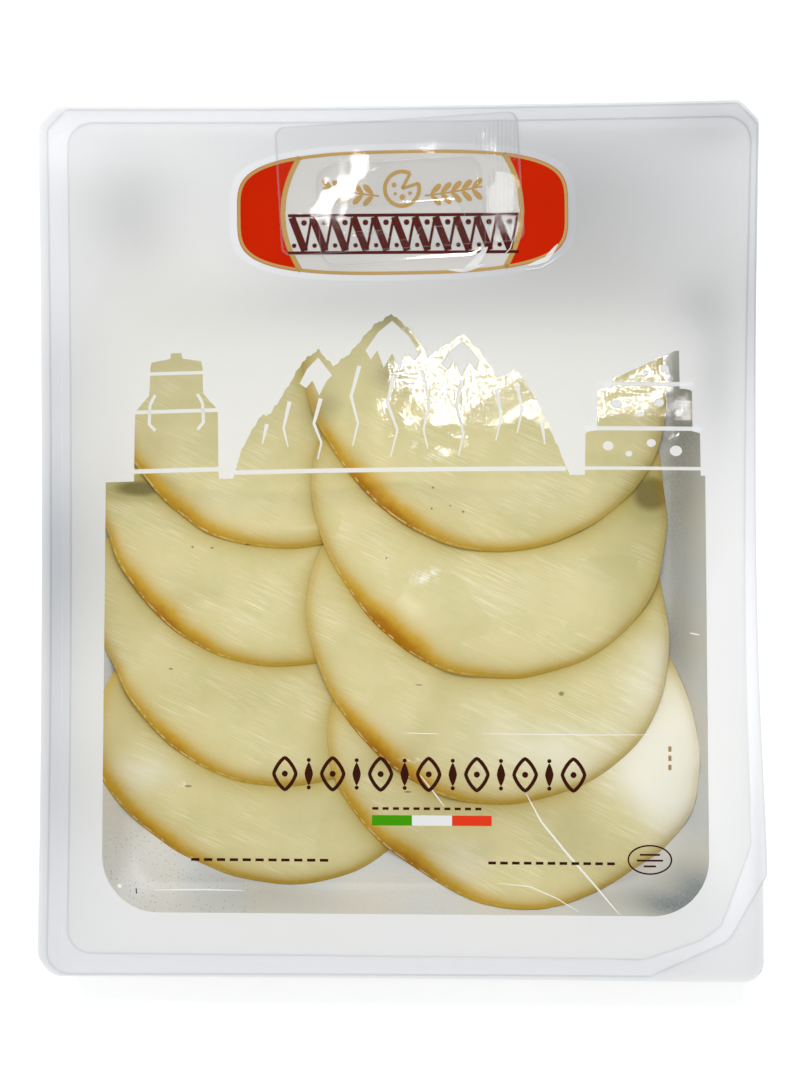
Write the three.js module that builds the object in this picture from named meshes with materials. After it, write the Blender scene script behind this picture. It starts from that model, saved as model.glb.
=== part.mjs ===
// Smoked provola in slices, sealed in a shallow tray under a clear lid film, lying on its back.
// Millimetres, +Z up. X runs across the pack, +Y towards the edge that it hangs from, and the
// origin is on the ground under the middle of the tray.
// Eight slices of one cheese log lie in two columns. Each slice rests on the one below it in its
// column, and the right column lies on the left one, so all of them are settled one by one.

import * as THREE from 'three'
import { mergeVertices } from 'three/addons/utils/BufferGeometryUtils.js'

// Driving dimensions
const packWidth = 190
const packLength = 230
const trayDepth = 20          // ground to the top of the flange
const trayWall = 0.6          // sheet thickness, square to the surface
const sideBow = { left: 1.2, right: 2.1, ends: 0.7 }   // how far each edge bends inwards
const gap = 0.3               // air between pieces that touch
const filmThickness = 0.4
const tabThickness = 0.5
const sliceThickness = 2.3

// The three loops that the tray is drawn through. Each corner is a round of that size, and its
// flatness runs from 0 for a round to 1 for a straight cut. Corners go round from lower right.
const flangeLoop = {
  left: -packWidth / 2, right: packWidth / 2, bottom: -packLength / 2, top: packLength / 2,
  corners: [[5, 0.1], [5.5, 0.9], [5.3, 0.9], [5.5, 0.2]],
}
const mouthLoop = {
  left: -89.2, right: 91.4, bottom: -109.8, top: 108,
  corners: [[27, 0.2], [6.6, 0], [6.6, 0], [6.6, 0]],
}
const floorLoop = {
  left: -74.5, right: 76, bottom: -94.8, top: 92.4,
  corners: [[20, 0.1], [8, 0], [8, 0], [8, 0]],
}
const cornerSteps = 6
const sideSteps = 4
const floorRound = 0.16       // share of the wall's run that each bend takes
const mouthRound = 0.08
const slopeStep = 0.01        // step along the wall over which its slope is measured
const filmShoulder = 0.6      // how far up the wall's run the film starts to fall to its seat

// Where each slice lies: centre, radius and turn in degrees, in the order in which they are laid.
const slicePlaces = [
  ['slice_left_4', -32.5, -46.9, 46.5, 16.7],
  ['slice_left_3', -33.6, -19.7, 45.8, -21.9],
  ['slice_left_2', -33.6, 13.2, 46.2, -24.5],
  ['slice_left_1', -32.6, 45.0, 46.2, -26.4],
  ['slice_right_4', 31.7, -51.2, 47.2, 2.3],
  ['slice_right_3', 25.6, -22.9, 47.2, -16.6],
  ['slice_right_2', 26.3, 10.4, 46.6, -17.8],
  ['slice_right_1', 25.0, 45.0, 47.2, -11.5],
]
// The log isn't quite round: [waves round the outline, cosine share, sine share].
const logWaves = [[2, 0.006, 0.004], [3, -0.036, -0.025], [4, 0.022, -0.016]]
const sliceSteps = 36         // facets round a slice
const sliceRings = 5
const settleRounds = 80
const settleSag = 0.3         // how far a slice sinks in each round of settling
const settleBlend = 0.5       // how much of each round is smoothing
const lastPushes = 40         // rounds of pushing up alone, once the slice has settled
const sampleSteps = 5         // places along a face's side where it is held up
const rimReach = 2            // how far past its rim a slice still counts as support

// The clear hang tab, folded down and stuck to the film, turned with the slot's bump downwards.
const tab = { x: 0.9, y: 93.6, turn: 3.4, width: 64, length: 34, corner: 2.5 }
const tabFlap = { width: 43.6, below: 3.4, corner: 5 }
const slot = { width: 32.2, height: 6.4, y: -8.6, bumpRadius: 5.2, bumpBelow: 3 }

const cheese = new THREE.MeshStandardMaterial({ color: 0xd9d1a2, roughness: 0.45 })
const trayPlastic = new THREE.MeshStandardMaterial({ color: 0xc4c4be, roughness: 0.5 })
const film = new THREE.MeshStandardMaterial({
  color: 0xeef0f0, roughness: 0.15, transparent: true, opacity: 0.35,
})
const tabPlastic = new THREE.MeshStandardMaterial({
  color: 0xf2f4f4, roughness: 0.1, transparent: true, opacity: 0.4,
})

const mix = (a, b, t) => a + (b - a) * t

// A loop between two loops, t of the way from the first to the second.
function loopBetween(first, second, t) {
  return {
    left: mix(first.left, second.left, t),
    right: mix(first.right, second.right, t),
    bottom: mix(first.bottom, second.bottom, t),
    top: mix(first.top, second.top, t),
    corners: first.corners.map(([size, flat], k) =>
      [mix(size, second.corners[k][0], t), mix(flat, second.corners[k][1], t)]),
  }
}

// The pack's edges bend inwards by a parabola that is deepest at the middle of each edge.
function bowPoint(x, y) {
  const bow = x < 0 ? sideBow.left : sideBow.right
  const u = x / (packWidth / 2)
  const v = y / (packLength / 2)
  return new THREE.Vector2(x - u * bow * (1 - v * v), y - v * sideBow.ends * (1 - u * u))
}

// The loop as points: at each corner an arc blended with its chord, then the side that follows.
function loopPoints(loop) {
  const signs = [[1, -1], [1, 1], [-1, 1], [-1, -1]]
  const arcs = signs.map(([sx, sy], k) => {
    const [size, flat] = loop.corners[k]
    const cx = (sx > 0 ? loop.right : loop.left) - sx * size
    const cy = (sy > 0 ? loop.top : loop.bottom) - sy * size
    const start = (k - 1) * Math.PI / 2
    const end = start + Math.PI / 2
    return Array.from({ length: cornerSteps + 1 }, (_, i) => {
      const t = i / cornerSteps
      const a = mix(start, end, t)
      const chordX = mix(Math.cos(start), Math.cos(end), t)
      const chordY = mix(Math.sin(start), Math.sin(end), t)
      return new THREE.Vector2(
        cx + size * mix(Math.cos(a), chordX, flat), cy + size * mix(Math.sin(a), chordY, flat))
    })
  })
  const points = []
  arcs.forEach((arc, k) => {
    points.push(...arc)
    const next = arcs[(k + 1) % arcs.length][0]
    for (let i = 1; i < sideSteps; i++) {
      points.push(arc[cornerSteps].clone().lerp(next, i / sideSteps))
    }
  })
  return points.map((p) => bowPoint(p.x, p.y))
}

// A closed skin through rings of points, each ring [points, height] with as many points as the
// next, from the middle of the underside out and back to the middle of the top.
function skinThroughRings(rings) {
  const n = rings[0][0].length
  const vertices = rings.flatMap(([points, z]) => points.map((p) => [p.x, p.y, z]))
  const faces = []
  for (let r = 0; r + 1 < rings.length; r++) {
    for (let i = 0; i < n; i++) {
      const j = (i + 1) % n
      const [a, b, c, d] = [r * n + i, r * n + j, (r + 1) * n + j, (r + 1) * n + i]
      faces.push([a, b, c], [a, c, d])
    }
  }
  const last = (rings.length - 1) * n
  for (const [a, b, c] of THREE.ShapeUtils.triangulateShape(rings[0][0], [])) {
    faces.push([c, b, a])
  }
  for (const [a, b, c] of THREE.ShapeUtils.triangulateShape(rings[rings.length - 1][0], [])) {
    faces.push([last + a, last + b, last + c])
  }
  return closedGeometry(vertices, faces)
}

function closedGeometry(vertices, faces) {
  const geometry = new THREE.BufferGeometry()
  geometry.setAttribute('position', new THREE.Float32BufferAttribute(vertices.flat(), 3))
  geometry.setIndex(faces.flat())
  const merged = mergeVertices(geometry, 1e-4)
  merged.computeVertexNormals()
  return merged
}

// Height of the tray wall's upper side, 0 at the floor and 1 at the mouth, with both bends round:
// a parabola, a straight slope, and a parabola again.
function wallRise(t) {
  if (t <= -floorRound) return 0
  if (t < floorRound) return (t + floorRound) ** 2 / (4 * floorRound)
  if (t < 1 - mouthRound) return t
  if (t < 1 + mouthRound) return 1 - (1 + mouthRound - t) ** 2 / (4 * mouthRound)
  return 1
}

function buildTray() {
  const run = mouthLoop.right - floorLoop.right
  const rise = trayDepth - trayWall
  const stations = [
    -floorRound, -floorRound / 2, 0, floorRound / 2, floorRound, 0.5,
    1 - mouthRound, 1, 1 + mouthRound,
  ]
  const upper = stations.map((t) => {
    const slope = (wallRise(t + slopeStep) - wallRise(t - slopeStep)) / (2 * slopeStep) * rise / run
    const points = loopPoints(loopBetween(floorLoop, mouthLoop, t))
    return { points, z: trayWall + rise * wallRise(t), depth: trayWall * Math.hypot(1, slope) }
  })
  upper.push({ points: loopPoints(flangeLoop), z: trayDepth, depth: trayWall })
  const under = upper.map(({ points, z, depth }) => [points, Math.max(0, z - depth)])
  const over = upper.map(({ points, z }) => [points, z]).reverse()
  return skinThroughRings([...under, ...over])
}

// The tray's upper side at a point, from whichever wall is nearest.
function trayTop(x, y) {
  const straight = bowPoint(x, y)
  const px = 2 * x - straight.x
  const py = 2 * y - straight.y
  const t = Math.max(
    (floorLoop.left - px) / (floorLoop.left - mouthLoop.left),
    (px - floorLoop.right) / (mouthLoop.right - floorLoop.right),
    (floorLoop.bottom - py) / (floorLoop.bottom - mouthLoop.bottom),
    (py - floorLoop.top) / (mouthLoop.top - floorLoop.top))
  return trayWall + (trayDepth - trayWall) * wallRise(t)
}

// One slice before it is settled: rim points round its centre, and a mesh of rings that are the
// rim drawn smaller. Vertex 0 is the centre and vertex 1 + r * sliceSteps + i is on ring r.
function layOutSlice([name, x, y, radius, turn]) {
  const rim = Array.from({ length: sliceSteps }, (_, i) => {
    const angle = i / sliceSteps * Math.PI * 2
    const local = angle - THREE.MathUtils.degToRad(turn)
    const waves = logWaves.reduce((sum, [k, cosine, sine]) =>
      sum + cosine * Math.cos(k * local) + sine * Math.sin(k * local), 1)
    return new THREE.Vector2(Math.cos(angle), Math.sin(angle)).multiplyScalar(radius * waves)
  })
  const centre = new THREE.Vector2(x, y)
  const spots = [centre.clone()]
  for (let r = 1; r <= sliceRings; r++) {
    rim.forEach((p) => spots.push(centre.clone().addScaledVector(p, r / sliceRings)))
  }
  return { name, centre, rim, radius, spots, heights: [] }
}

const sliceVertex = (ring, i) => (ring === 0 ? 0 : 1 + (ring - 1) * sliceSteps + i % sliceSteps)

function sliceFaces() {
  const faces = []
  for (let i = 0; i < sliceSteps; i++) {
    for (let r = 0; r < sliceRings; r++) {
      faces.push([sliceVertex(r, i), sliceVertex(r + 1, i), sliceVertex(r + 1, i + 1)])
      if (r > 0) faces.push([sliceVertex(r, i), sliceVertex(r + 1, i + 1), sliceVertex(r, i + 1)])
    }
  }
  return faces
}

// Upper side of a settled slice at a point, or nothing where the slice doesn't reach. In the
// wedge between two rim points, the point is a times the first plus b times the second.
function sliceTop(slice, x, y) {
  const dx = x - slice.centre.x
  const dy = y - slice.centre.y
  const angle = (Math.atan2(dy, dx) / (Math.PI * 2) + 1) % 1
  const i = Math.floor(angle * sliceSteps) % sliceSteps
  const p = slice.rim[i]
  const q = slice.rim[(i + 1) % sliceSteps]
  const area = p.x * q.y - p.y * q.x
  let a = (dx * q.y - dy * q.x) / area
  let b = (p.x * dy - p.y * dx) / area
  if (a + b > 1 + rimReach / slice.radius) return -Infinity
  const shrink = Math.min(1, 1 / (a + b))
  a *= shrink
  b *= shrink
  const ring = Math.min(sliceRings - 1, Math.floor((a + b) * sliceRings))
  const inner = ring / sliceRings
  const outer = (ring + 1) / sliceRings
  let shareC = b / outer
  let shareD = (a - (1 - shareC) * inner) / (outer - inner)
  let rest = 1 - shareC - shareD
  let third = sliceVertex(ring + 1, i)
  if (shareD < 0) {
    rest = a / inner
    shareC = (b - (1 - rest) * inner) / (outer - inner)
    shareD = 1 - rest - shareC
    third = sliceVertex(ring, i + 1)
  }
  const under = rest * slice.heights[sliceVertex(ring, i)]
    + shareC * slice.heights[sliceVertex(ring + 1, i + 1)] + shareD * slice.heights[third]
  return under + sliceThickness
}

// Settling: the slice is smoothed like a sheet and pushed up wherever it would sink into what
// lies under it, in turns, until it bends over the edges below it as soft cheese does.
function settleSlice(slice, below) {
  const faces = sliceFaces()
  const shares = []
  for (let a = 0; a <= sampleSteps; a++) {
    for (let b = 0; a + b <= sampleSteps; b++) {
      shares.push([a, b, sampleSteps - a - b].map((part) => part / sampleSteps))
    }
  }
  const samples = faces.flatMap((face) => shares.map((share) => {
    const spot = new THREE.Vector2()
    face.forEach((v, k) => spot.addScaledVector(slice.spots[v], share[k]))
    const support = Math.max(
      trayTop(spot.x, spot.y), ...below.map((other) => sliceTop(other, spot.x, spot.y)))
    return { face, share, need: support + gap }
  }))
  const neighbours = slice.spots.map(() => new Set())
  faces.forEach((face) => face.forEach((v) => face.forEach((w) => v !== w && neighbours[v].add(w))))
  slice.heights = slice.spots.map(() => trayWall + gap)
  for (let round = 0; round < settleRounds; round++) {
    slice.heights = slice.heights.map((z, v) => {
      const around = [...neighbours[v]]
      const mean = around.reduce((sum, w) => sum + slice.heights[w], 0) / around.length
      return mix(z, mean, settleBlend) - settleSag
    })
    pushUp(slice.heights, samples)
  }
  for (let round = 0; round < lastPushes; round++) pushUp(slice.heights, samples)
  const worst = Math.max(0, ...samples.map(({ face, share, need }) =>
    need - face.reduce((sum, v, k) => sum + share[k] * slice.heights[v], 0)))
  slice.heights = slice.heights.map((z) => z + worst)
}

// Where a sample is too low, the corners of its face rise, each by its share.
function pushUp(heights, samples) {
  for (const { face, share, need } of samples) {
    const low = need - face.reduce((sum, v, k) => sum + share[k] * heights[v], 0)
    if (low > 0) {
      const square = share.reduce((sum, s) => sum + s * s, 0)
      face.forEach((v, k) => { heights[v] += low * share[k] / square })
    }
  }
}

function buildSlice(slice) {
  const count = slice.spots.length
  const lower = slice.spots.map((p, v) => [p.x, p.y, slice.heights[v]])
  const upper = slice.spots.map((p, v) => [p.x, p.y, slice.heights[v] + sliceThickness])
  const faces = []
  for (const [a, b, c] of sliceFaces()) faces.push([c, b, a], [count + a, count + b, count + c])
  for (let i = 0; i < sliceSteps; i++) {
    const [a, b] = [sliceVertex(sliceRings, i), sliceVertex(sliceRings, i + 1)]
    faces.push([a, b, count + b], [a, count + b, count + a])
  }
  return closedGeometry([...lower, ...upper], faces)
}

// The film is flat on the flange, and over the tray it lies just clear of the highest slice.
function buildFilm(pileTop) {
  const seat = trayDepth + gap
  const crown = Math.max(seat, pileTop + gap)
  const inner = loopBetween(floorLoop, mouthLoop, filmShoulder)
  const loops = [[loopPoints(inner), crown], [loopPoints(mouthLoop), seat], [loopPoints(flangeLoop), seat]]
  const over = loops.map(([points, z]) => [points, z + filmThickness]).reverse()
  return skinThroughRings([...loops, ...over])
}

// A rectangle with round corners, centred on x = 0, in a path that runs anticlockwise.
function roundedRectangle(path, width, bottom, top, corner) {
  const right = width / 2
  path.moveTo(-right + corner, bottom)
  path.lineTo(right - corner, bottom)
  path.absarc(right - corner, bottom + corner, corner, -Math.PI / 2, 0)
  path.lineTo(right, top - corner)
  path.absarc(right - corner, top - corner, corner, 0, Math.PI / 2)
  path.lineTo(-right + corner, top)
  path.absarc(-right + corner, top - corner, corner, Math.PI / 2, Math.PI)
  path.lineTo(-right, bottom + corner)
  path.absarc(-right + corner, bottom + corner, corner, Math.PI, Math.PI * 1.5)
  return path
}

// The tab's outline is a rectangle with the hanging flap's round end below it. The slot is a bar
// with round ends, and its bump takes the hook.
function buildTab() {
  const right = tab.width / 2
  const bottom = -tab.length / 2
  const top = tab.length / 2
  const flapRight = tabFlap.width / 2
  const flapBottom = bottom - tabFlap.below
  const shape = new THREE.Shape()
  shape.moveTo(-flapRight + tabFlap.corner, flapBottom)
  shape.lineTo(flapRight - tabFlap.corner, flapBottom)
  shape.quadraticCurveTo(flapRight, flapBottom, flapRight, bottom)
  shape.lineTo(right, bottom)
  shape.lineTo(right, top - tab.corner)
  shape.absarc(right - tab.corner, top - tab.corner, tab.corner, 0, Math.PI / 2)
  shape.lineTo(-right + tab.corner, top)
  shape.absarc(-right + tab.corner, top - tab.corner, tab.corner, Math.PI / 2, Math.PI)
  shape.lineTo(-right, bottom)
  shape.lineTo(-flapRight, bottom)
  shape.quadraticCurveTo(-flapRight, flapBottom, -flapRight + tabFlap.corner, flapBottom)

  const end = slot.height / 2
  const bar = slot.width / 2 - end
  const bumpAngle = Math.acos((slot.bumpRadius - slot.bumpBelow) / slot.bumpRadius)
  const bumpY = slot.y - end + slot.bumpRadius - slot.bumpBelow
  const hole = new THREE.Path()
  hole.absarc(-bar, slot.y, end, Math.PI / 2, Math.PI * 1.5)
  hole.absarc(0, bumpY, slot.bumpRadius, -Math.PI / 2 - bumpAngle, -Math.PI / 2 + bumpAngle)
  hole.absarc(bar, slot.y, end, -Math.PI / 2, Math.PI / 2)
  shape.holes.push(hole)

  const geometry = new THREE.ExtrudeGeometry(
    shape, { depth: tabThickness, bevelEnabled: false, curveSegments: 8 })
  geometry.deleteAttribute('normal')
  geometry.deleteAttribute('uv')
  const merged = mergeVertices(geometry, 1e-4)
  merged.computeVertexNormals()
  return merged
}

const group = new THREE.Group()

function addPiece(name, geometry, material) {
  const mesh = new THREE.Mesh(geometry, material)
  mesh.name = name
  group.add(mesh)
  return mesh
}

addPiece('tray', buildTray(), trayPlastic)

const slices = slicePlaces.map(layOutSlice)
slices.forEach((slice, k) => {
  settleSlice(slice, slices.slice(0, k))
  addPiece(slice.name, buildSlice(slice), cheese)
})
const pileTop = Math.max(...slices.flatMap((slice) => slice.heights)) + sliceThickness

addPiece('lid_film', buildFilm(pileTop), film)

const tabMesh = addPiece('hang_tab', buildTab(), tabPlastic)
tabMesh.position.set(tab.x, tab.y, Math.max(trayDepth + gap, pileTop + gap) + filmThickness + gap)
tabMesh.rotation.z = THREE.MathUtils.degToRad(tab.turn)

export default group
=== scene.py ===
import math

import bpy
import numpy as np
from mathutils import Matrix, Vector


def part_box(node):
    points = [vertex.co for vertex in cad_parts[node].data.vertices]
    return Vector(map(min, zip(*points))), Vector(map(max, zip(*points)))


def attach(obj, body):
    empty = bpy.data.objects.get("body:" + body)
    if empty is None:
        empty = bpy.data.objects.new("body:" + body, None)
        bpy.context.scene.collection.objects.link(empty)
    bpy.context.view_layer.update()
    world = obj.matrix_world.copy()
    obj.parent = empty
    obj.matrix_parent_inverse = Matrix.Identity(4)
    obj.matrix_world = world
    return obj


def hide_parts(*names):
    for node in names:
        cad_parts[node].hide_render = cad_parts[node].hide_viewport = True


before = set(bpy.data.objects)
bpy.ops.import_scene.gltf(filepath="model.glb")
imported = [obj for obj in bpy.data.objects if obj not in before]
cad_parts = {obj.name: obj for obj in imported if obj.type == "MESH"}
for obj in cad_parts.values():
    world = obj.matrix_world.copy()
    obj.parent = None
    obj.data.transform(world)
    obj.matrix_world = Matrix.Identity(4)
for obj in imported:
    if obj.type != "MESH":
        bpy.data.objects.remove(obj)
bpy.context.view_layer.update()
mm = 0.001   # all shapes below are worked out in millimetres

# The pack's outline

packHigh = np.array(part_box("tray")[1]) / mm
filmLow, filmHigh = (np.array(corner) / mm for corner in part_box("lid_film"))

# A loop round the pack: left, right, bottom, top, then the sizes of its four corners from lower
# right round, then how flat each corner is cut, from 0 for a round to 1 for a straight cut.
pack = {
    "flange": np.array([-95, 95, -115, 115, 5, 5.5, 5.3, 5.5, 0.1, 0.9, 0.9, 0.5]),
    "mouth": np.array([-89.2, 91.4, -109.8, 108, 27, 6.6, 6.6, 6.6, 0.2, 0, 0, 0]),
    "floor": np.array([-74.5, 76, -94.8, 92.4, 20, 8, 8, 8, 0.1, 0, 0, 0]),
    "bowLeft": 1.2, "bowRight": 1.6, "bowBottom": 0.25, "bowTop": 0.7,   # how far each edge bends inwards
    "cornerOut": 1.3, "cornerPlace": -0.75, "cornerReach": 0.38,          # the free corner stands out
    "floorBend": 0.16, "mouthBend": 0.08,              # share of the wall's run in each bend
    "sheet": 0.6,                                      # thickness of the tray
}
packHalf = np.array([95.0, 115.0])


def bowEdges(x, y):
    # each edge bends inwards by a parabola that is deepest at its middle, and the right-hand one
    # stands out again by a bell beside the free corner
    u, v = x / packHalf[0], y / packHalf[1]
    bow = np.where(x < 0, pack["bowLeft"], pack["bowRight"])
    ends = np.where(y < 0, pack["bowBottom"], pack["bowTop"])
    beside = np.exp(-((v - pack["cornerPlace"]) / pack["cornerReach"]) ** 2)
    out = pack["cornerOut"] * np.clip(u, 0, None) * beside
    return x - u * bow * (1 - v * v) + out, y - v * ends * (1 - u * u)


def onCircle(turn):
    # points on a circle of radius 1 at those angles
    return np.stack([np.cos(turn), np.sin(turn)], 1)


def cornerPoints(loop, corner, count):
    # a quarter circle blended with its own chord
    left, right, bottom, top = loop[:4]
    size, flat = loop[4 + corner], loop[8 + corner]
    signX, signY = ((1, -1), (1, 1), (-1, 1), (-1, -1))[corner]
    centreX = (right if signX > 0 else left) - signX * size
    centreY = (top if signY > 0 else bottom) - signY * size
    turn = (corner - 1) * math.pi / 2 + np.linspace(0, math.pi / 2, count)
    arc = onCircle(turn)
    share = np.linspace(0, 1, count)[:, None]
    chord = arc[:1] * (1 - share) + arc[-1:] * share
    return np.array([centreX, centreY]) + size * (arc * (1 - flat) + chord * flat)


def alongPath(path, count):
    # count points evenly spaced along an open path
    steps = np.hypot(*np.diff(path, axis=0).T)
    length = np.concatenate([[0], np.cumsum(steps)])
    wanted = np.linspace(0, length[-1], count)
    return np.stack([np.interp(wanted, length, path[:, k]) for k in (0, 1)], 1)


def loopSections(loop, counts, bowed=True, cut=None):
    # the loop in four runs, top, left, bottom and right, each from mid corner to mid corner; cut
    # is a path to take the lower right corner's place
    half = 8
    corners = [cornerPoints(loop, k, 2 * half + 1) for k in range(4)]
    if cut:
        corners[0] = alongPath(np.array(cut), 2 * half + 1)
    runs = []
    for first, count in zip((1, 2, 3, 0), counts):
        path = np.concatenate([corners[first][half:], corners[(first + 1) % 4][:half + 1]])
        runs.append(alongPath(path, count + 1)[:-1])
    points = np.concatenate(runs)
    return np.stack(bowEdges(points[:, 0], points[:, 1]), 1) if bowed else points


# The tray's upper side and the film's upper side as functions of a place

def wallRise(t):
    # 0 at the floor and 1 at the mouth: a parabola, a straight slope, and a parabola again
    a, b = pack["floorBend"], pack["mouthBend"]
    low = np.clip(t + a, 0, None) ** 2 / (4 * a)
    high = 1 - np.clip(1 + b - t, 0, None) ** 2 / (4 * b)
    return np.where(t < a, low, np.where(t < 1 - b, t, high))


def trayTop(x, y):
    # height over the ground of whichever wall is nearest
    bowedX, bowedY = bowEdges(x, y)
    x, y = 2 * x - bowedX, 2 * y - bowedY
    left, right, bottom, top = pack["floor"][:4]
    mouthLeft, mouthRight, mouthBottom, mouthTop = pack["mouth"][:4]
    t = np.maximum.reduce([
        (left - x) / (left - mouthLeft), (x - right) / (mouthRight - right),
        (bottom - y) / (bottom - mouthBottom), (y - top) / (mouthTop - top)])
    return pack["sheet"] + (packHigh[2] - pack["sheet"]) * wallRise(t)


film = {
    "seat": filmLow[2] + 0.05,      # the underside on the flange
    "thickness": 0.12,
    "sag": 0.42,                    # how far it hangs in over the tray
    "sagReach": 9.0,
    "shoulder": 0.6,                # flat beside the mouth's edge
    "cornerCut": 11.5,              # how far inside the free corner it is sealed again
    # broad waves: [direction in degrees, wavelength, height, offset]
    "waves": [(-38, 46, 0.03, 0.3), (-52, 71, 0.04, 2.0), (25, 58, 0.03, 4.1), (80, 37, 0.012, 1.0)],
    # soft folds: [from x, y, to x, y, half width, height]
    "folds": [
        (64, -74, 40, -94, 3.0, 0.12), (-74, 96, -40, 60, 5.0, 0.10), (-48, 104, -8, 66, 4.0, 0.05),
        (70, 98, 48, 70, 5.0, 0.08), (-72, -100, -52, -84, 3.0, 0.08),
    ],
    # sharp creases, whose white is a painted highlight: [width at the middle, places along it]
    "creases": [
        (0.24, [(2, -50.4), (11.5, -50.6)]),
        (0.22, [(22, -50.5), (50, -50.7), (70, -50.6)]),
        (0.55, [(34, -66), (38, -73.4), (45, -82), (52, -90), (58.4, -97.6)]),
        (0.35, [(6, -61), (10, -66), (13, -70)]),
        (0.3, [(27, -89.6), (35, -90.4), (42, -93.4), (48, -97)]),
        (1.1, [(-73.4, -90.6), (-72.6, -91.4)]),
        (0.35, [(-64, -92), (-50, -91.8), (-40, -92)]),
        (0.35, [(76.6, -24), (79.4, -24.6)]),
    ],
    "creaseHighlightShare": 0.52,              # how much of what lies under a crease it hides
    "sealDrop": 0.05,                # how far the seal is pressed in
    "rimWidth": 2.4, "rimStep": 0.5,  # the rim that isn't pressed in, and the slope inside it
    # small unevenness that only its gloss shows: heights in mm, and how many to the mm
    "ripple": 0.08, "rippleSize": 0.10, "mottle": 0.0034, "mottleSize": 1.2,
    "mirror": 0.008,                # share that it mirrors, seen from straight above
    "gapTurn": 34, "gapSize": 0.13,   # dull bands across the gloss: their direction, and how many to the mm
}


def insideMouth(x, y, reach):
    # 0 on the mouth's edge and 1 well inside it
    left, right, bottom, top = pack["mouth"][:4]
    corner = (right - x + y - bottom) * math.sqrt(0.5) - film["cornerCut"]
    sides = [x - left, right - x, y - bottom, top - y, corner]
    return np.prod([np.tanh(np.clip(side - film["shoulder"], 0, None) / reach) for side in sides], axis=0)


def foldRelief(x, y, fold):
    # a ridge whose height falls off as a bell on both sides and towards its ends
    x1, y1, x2, y2, width, height = fold
    length = math.hypot(x2 - x1, y2 - y1)
    along = ((x - x1) * (x2 - x1) + (y - y1) * (y2 - y1)) / length ** 2
    across = ((x - x1) * (y2 - y1) - (y - y1) * (x2 - x1)) / length
    fade = np.clip(np.minimum(along, 1 - along) * 3, 0, 1)
    return height * np.exp(-(across / width) ** 2) * fade * fade * (3 - 2 * fade)


def filmTop(x, y):
    # the sag, which levels out as a tanh towards each side, with waves, folds and the pressed seal
    inside = insideMouth(x, y, film["sagReach"])
    relief = -film["sag"] * inside
    for turn, wavelength, height, offset in film["waves"]:
        angle = math.radians(turn)
        along = (x * math.cos(angle) + y * math.sin(angle)) * 2 * math.pi / wavelength
        relief = relief + inside * height * np.sin(along + offset + 0.6 * np.sin(along * 0.37))
    for fold in film["folds"]:
        relief = relief + inside * foldRelief(x, y, fold)
    sealed = insideMouth(x, y, 0.2)
    beyond = np.maximum(np.abs(x) - packHalf[0], np.abs(y) - packHalf[1]) + film["rimWidth"]
    rim = np.clip(beyond / film["rimStep"], 0, 1)
    relief = relief - film["sealDrop"] * (1 - sealed) * (1 - rim)
    return film["seat"] + film["thickness"] + relief


# Meshes from rows of points

def gridOf(rows):
    # numbers of the points of rows
    return np.arange(rows.shape[0] * rows.shape[1]).reshape(rows.shape[:2])


def closeRows(rows, startPole=True, endPole=True):
    # rows of as many points each, every row a closed loop; a pole shuts each end. Faces point
    # outwards if the rows run from the top's middle out to the rim and back under it, and
    # each row runs anticlockwise seen from above.
    index = gridOf(rows)
    after = np.roll(index, -1, axis=1)
    faces = np.stack([index[:-1], index[1:], after[1:], after[:-1]], -1).reshape(-1, 4).tolist()
    points = [rows.reshape(-1, 3)]
    total = index.size
    for wanted, row, first, second in (
            (startPole, rows[0], index[0], after[0]), (endPole, rows[-1], after[-1], index[-1])):
        if wanted:
            points.append(row.mean(0)[None])
            faces += np.stack([np.full(len(row), total), first, second], -1).tolist()
            total += 1
    return np.concatenate(points), faces


def slab(plans, low, high, ring=False):
    # rows of places taken at two heights; unless they are a ring, poles shut it at the middle
    lower, upper = (np.concatenate([plans, height[..., None]], -1) for height in (low, high))
    if ring:
        return closeRows(np.concatenate([upper, lower[::-1], upper[:1]]), False, False)
    return closeRows(np.concatenate([upper, lower[::-1]]))


def joinShapes(shapes):
    # several shapes as one, with each one's corners counted on from the last one's
    points, faces, start = [], [], 0
    for shapePoints, shapeFaces in shapes:
        points.append(shapePoints)
        faces += [[corner + start for corner in face] for face in shapeFaces]
        start += len(shapePoints)
    return np.concatenate(points), faces


def addPiece(name, shape, material, stands=(), sharp=35, attributes=None, under=None):
    # under is the finish of the faces that look down
    points, faces = shape
    mesh = bpy.data.meshes.new(name)
    mesh.from_pydata((points * mm).tolist(), [], faces)
    mesh.validate()
    for key, values in (attributes or {}).items():
        layer = mesh.attributes.new(key, "FLOAT", "POINT")
        layer.data.foreach_set("value", np.ascontiguousarray(values, dtype=np.float32))
    mesh.shade_smooth()
    mesh.set_sharp_from_angle(angle=math.radians(sharp))
    mesh.materials.append(material)
    if under:
        mesh.materials.append(under)
        normals = np.empty(3 * len(mesh.polygons), dtype=np.float32)
        mesh.polygons.foreach_get("normal", normals)
        mesh.polygons.foreach_set("material_index", (normals[2::3] < -0.5).astype(np.int32))
    piece = bpy.data.objects.new(name, mesh)
    bpy.context.scene.collection.objects.link(piece)
    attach(piece, "root")
    if stands:
        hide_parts(*stands)
    return piece


# Shader maths

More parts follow.
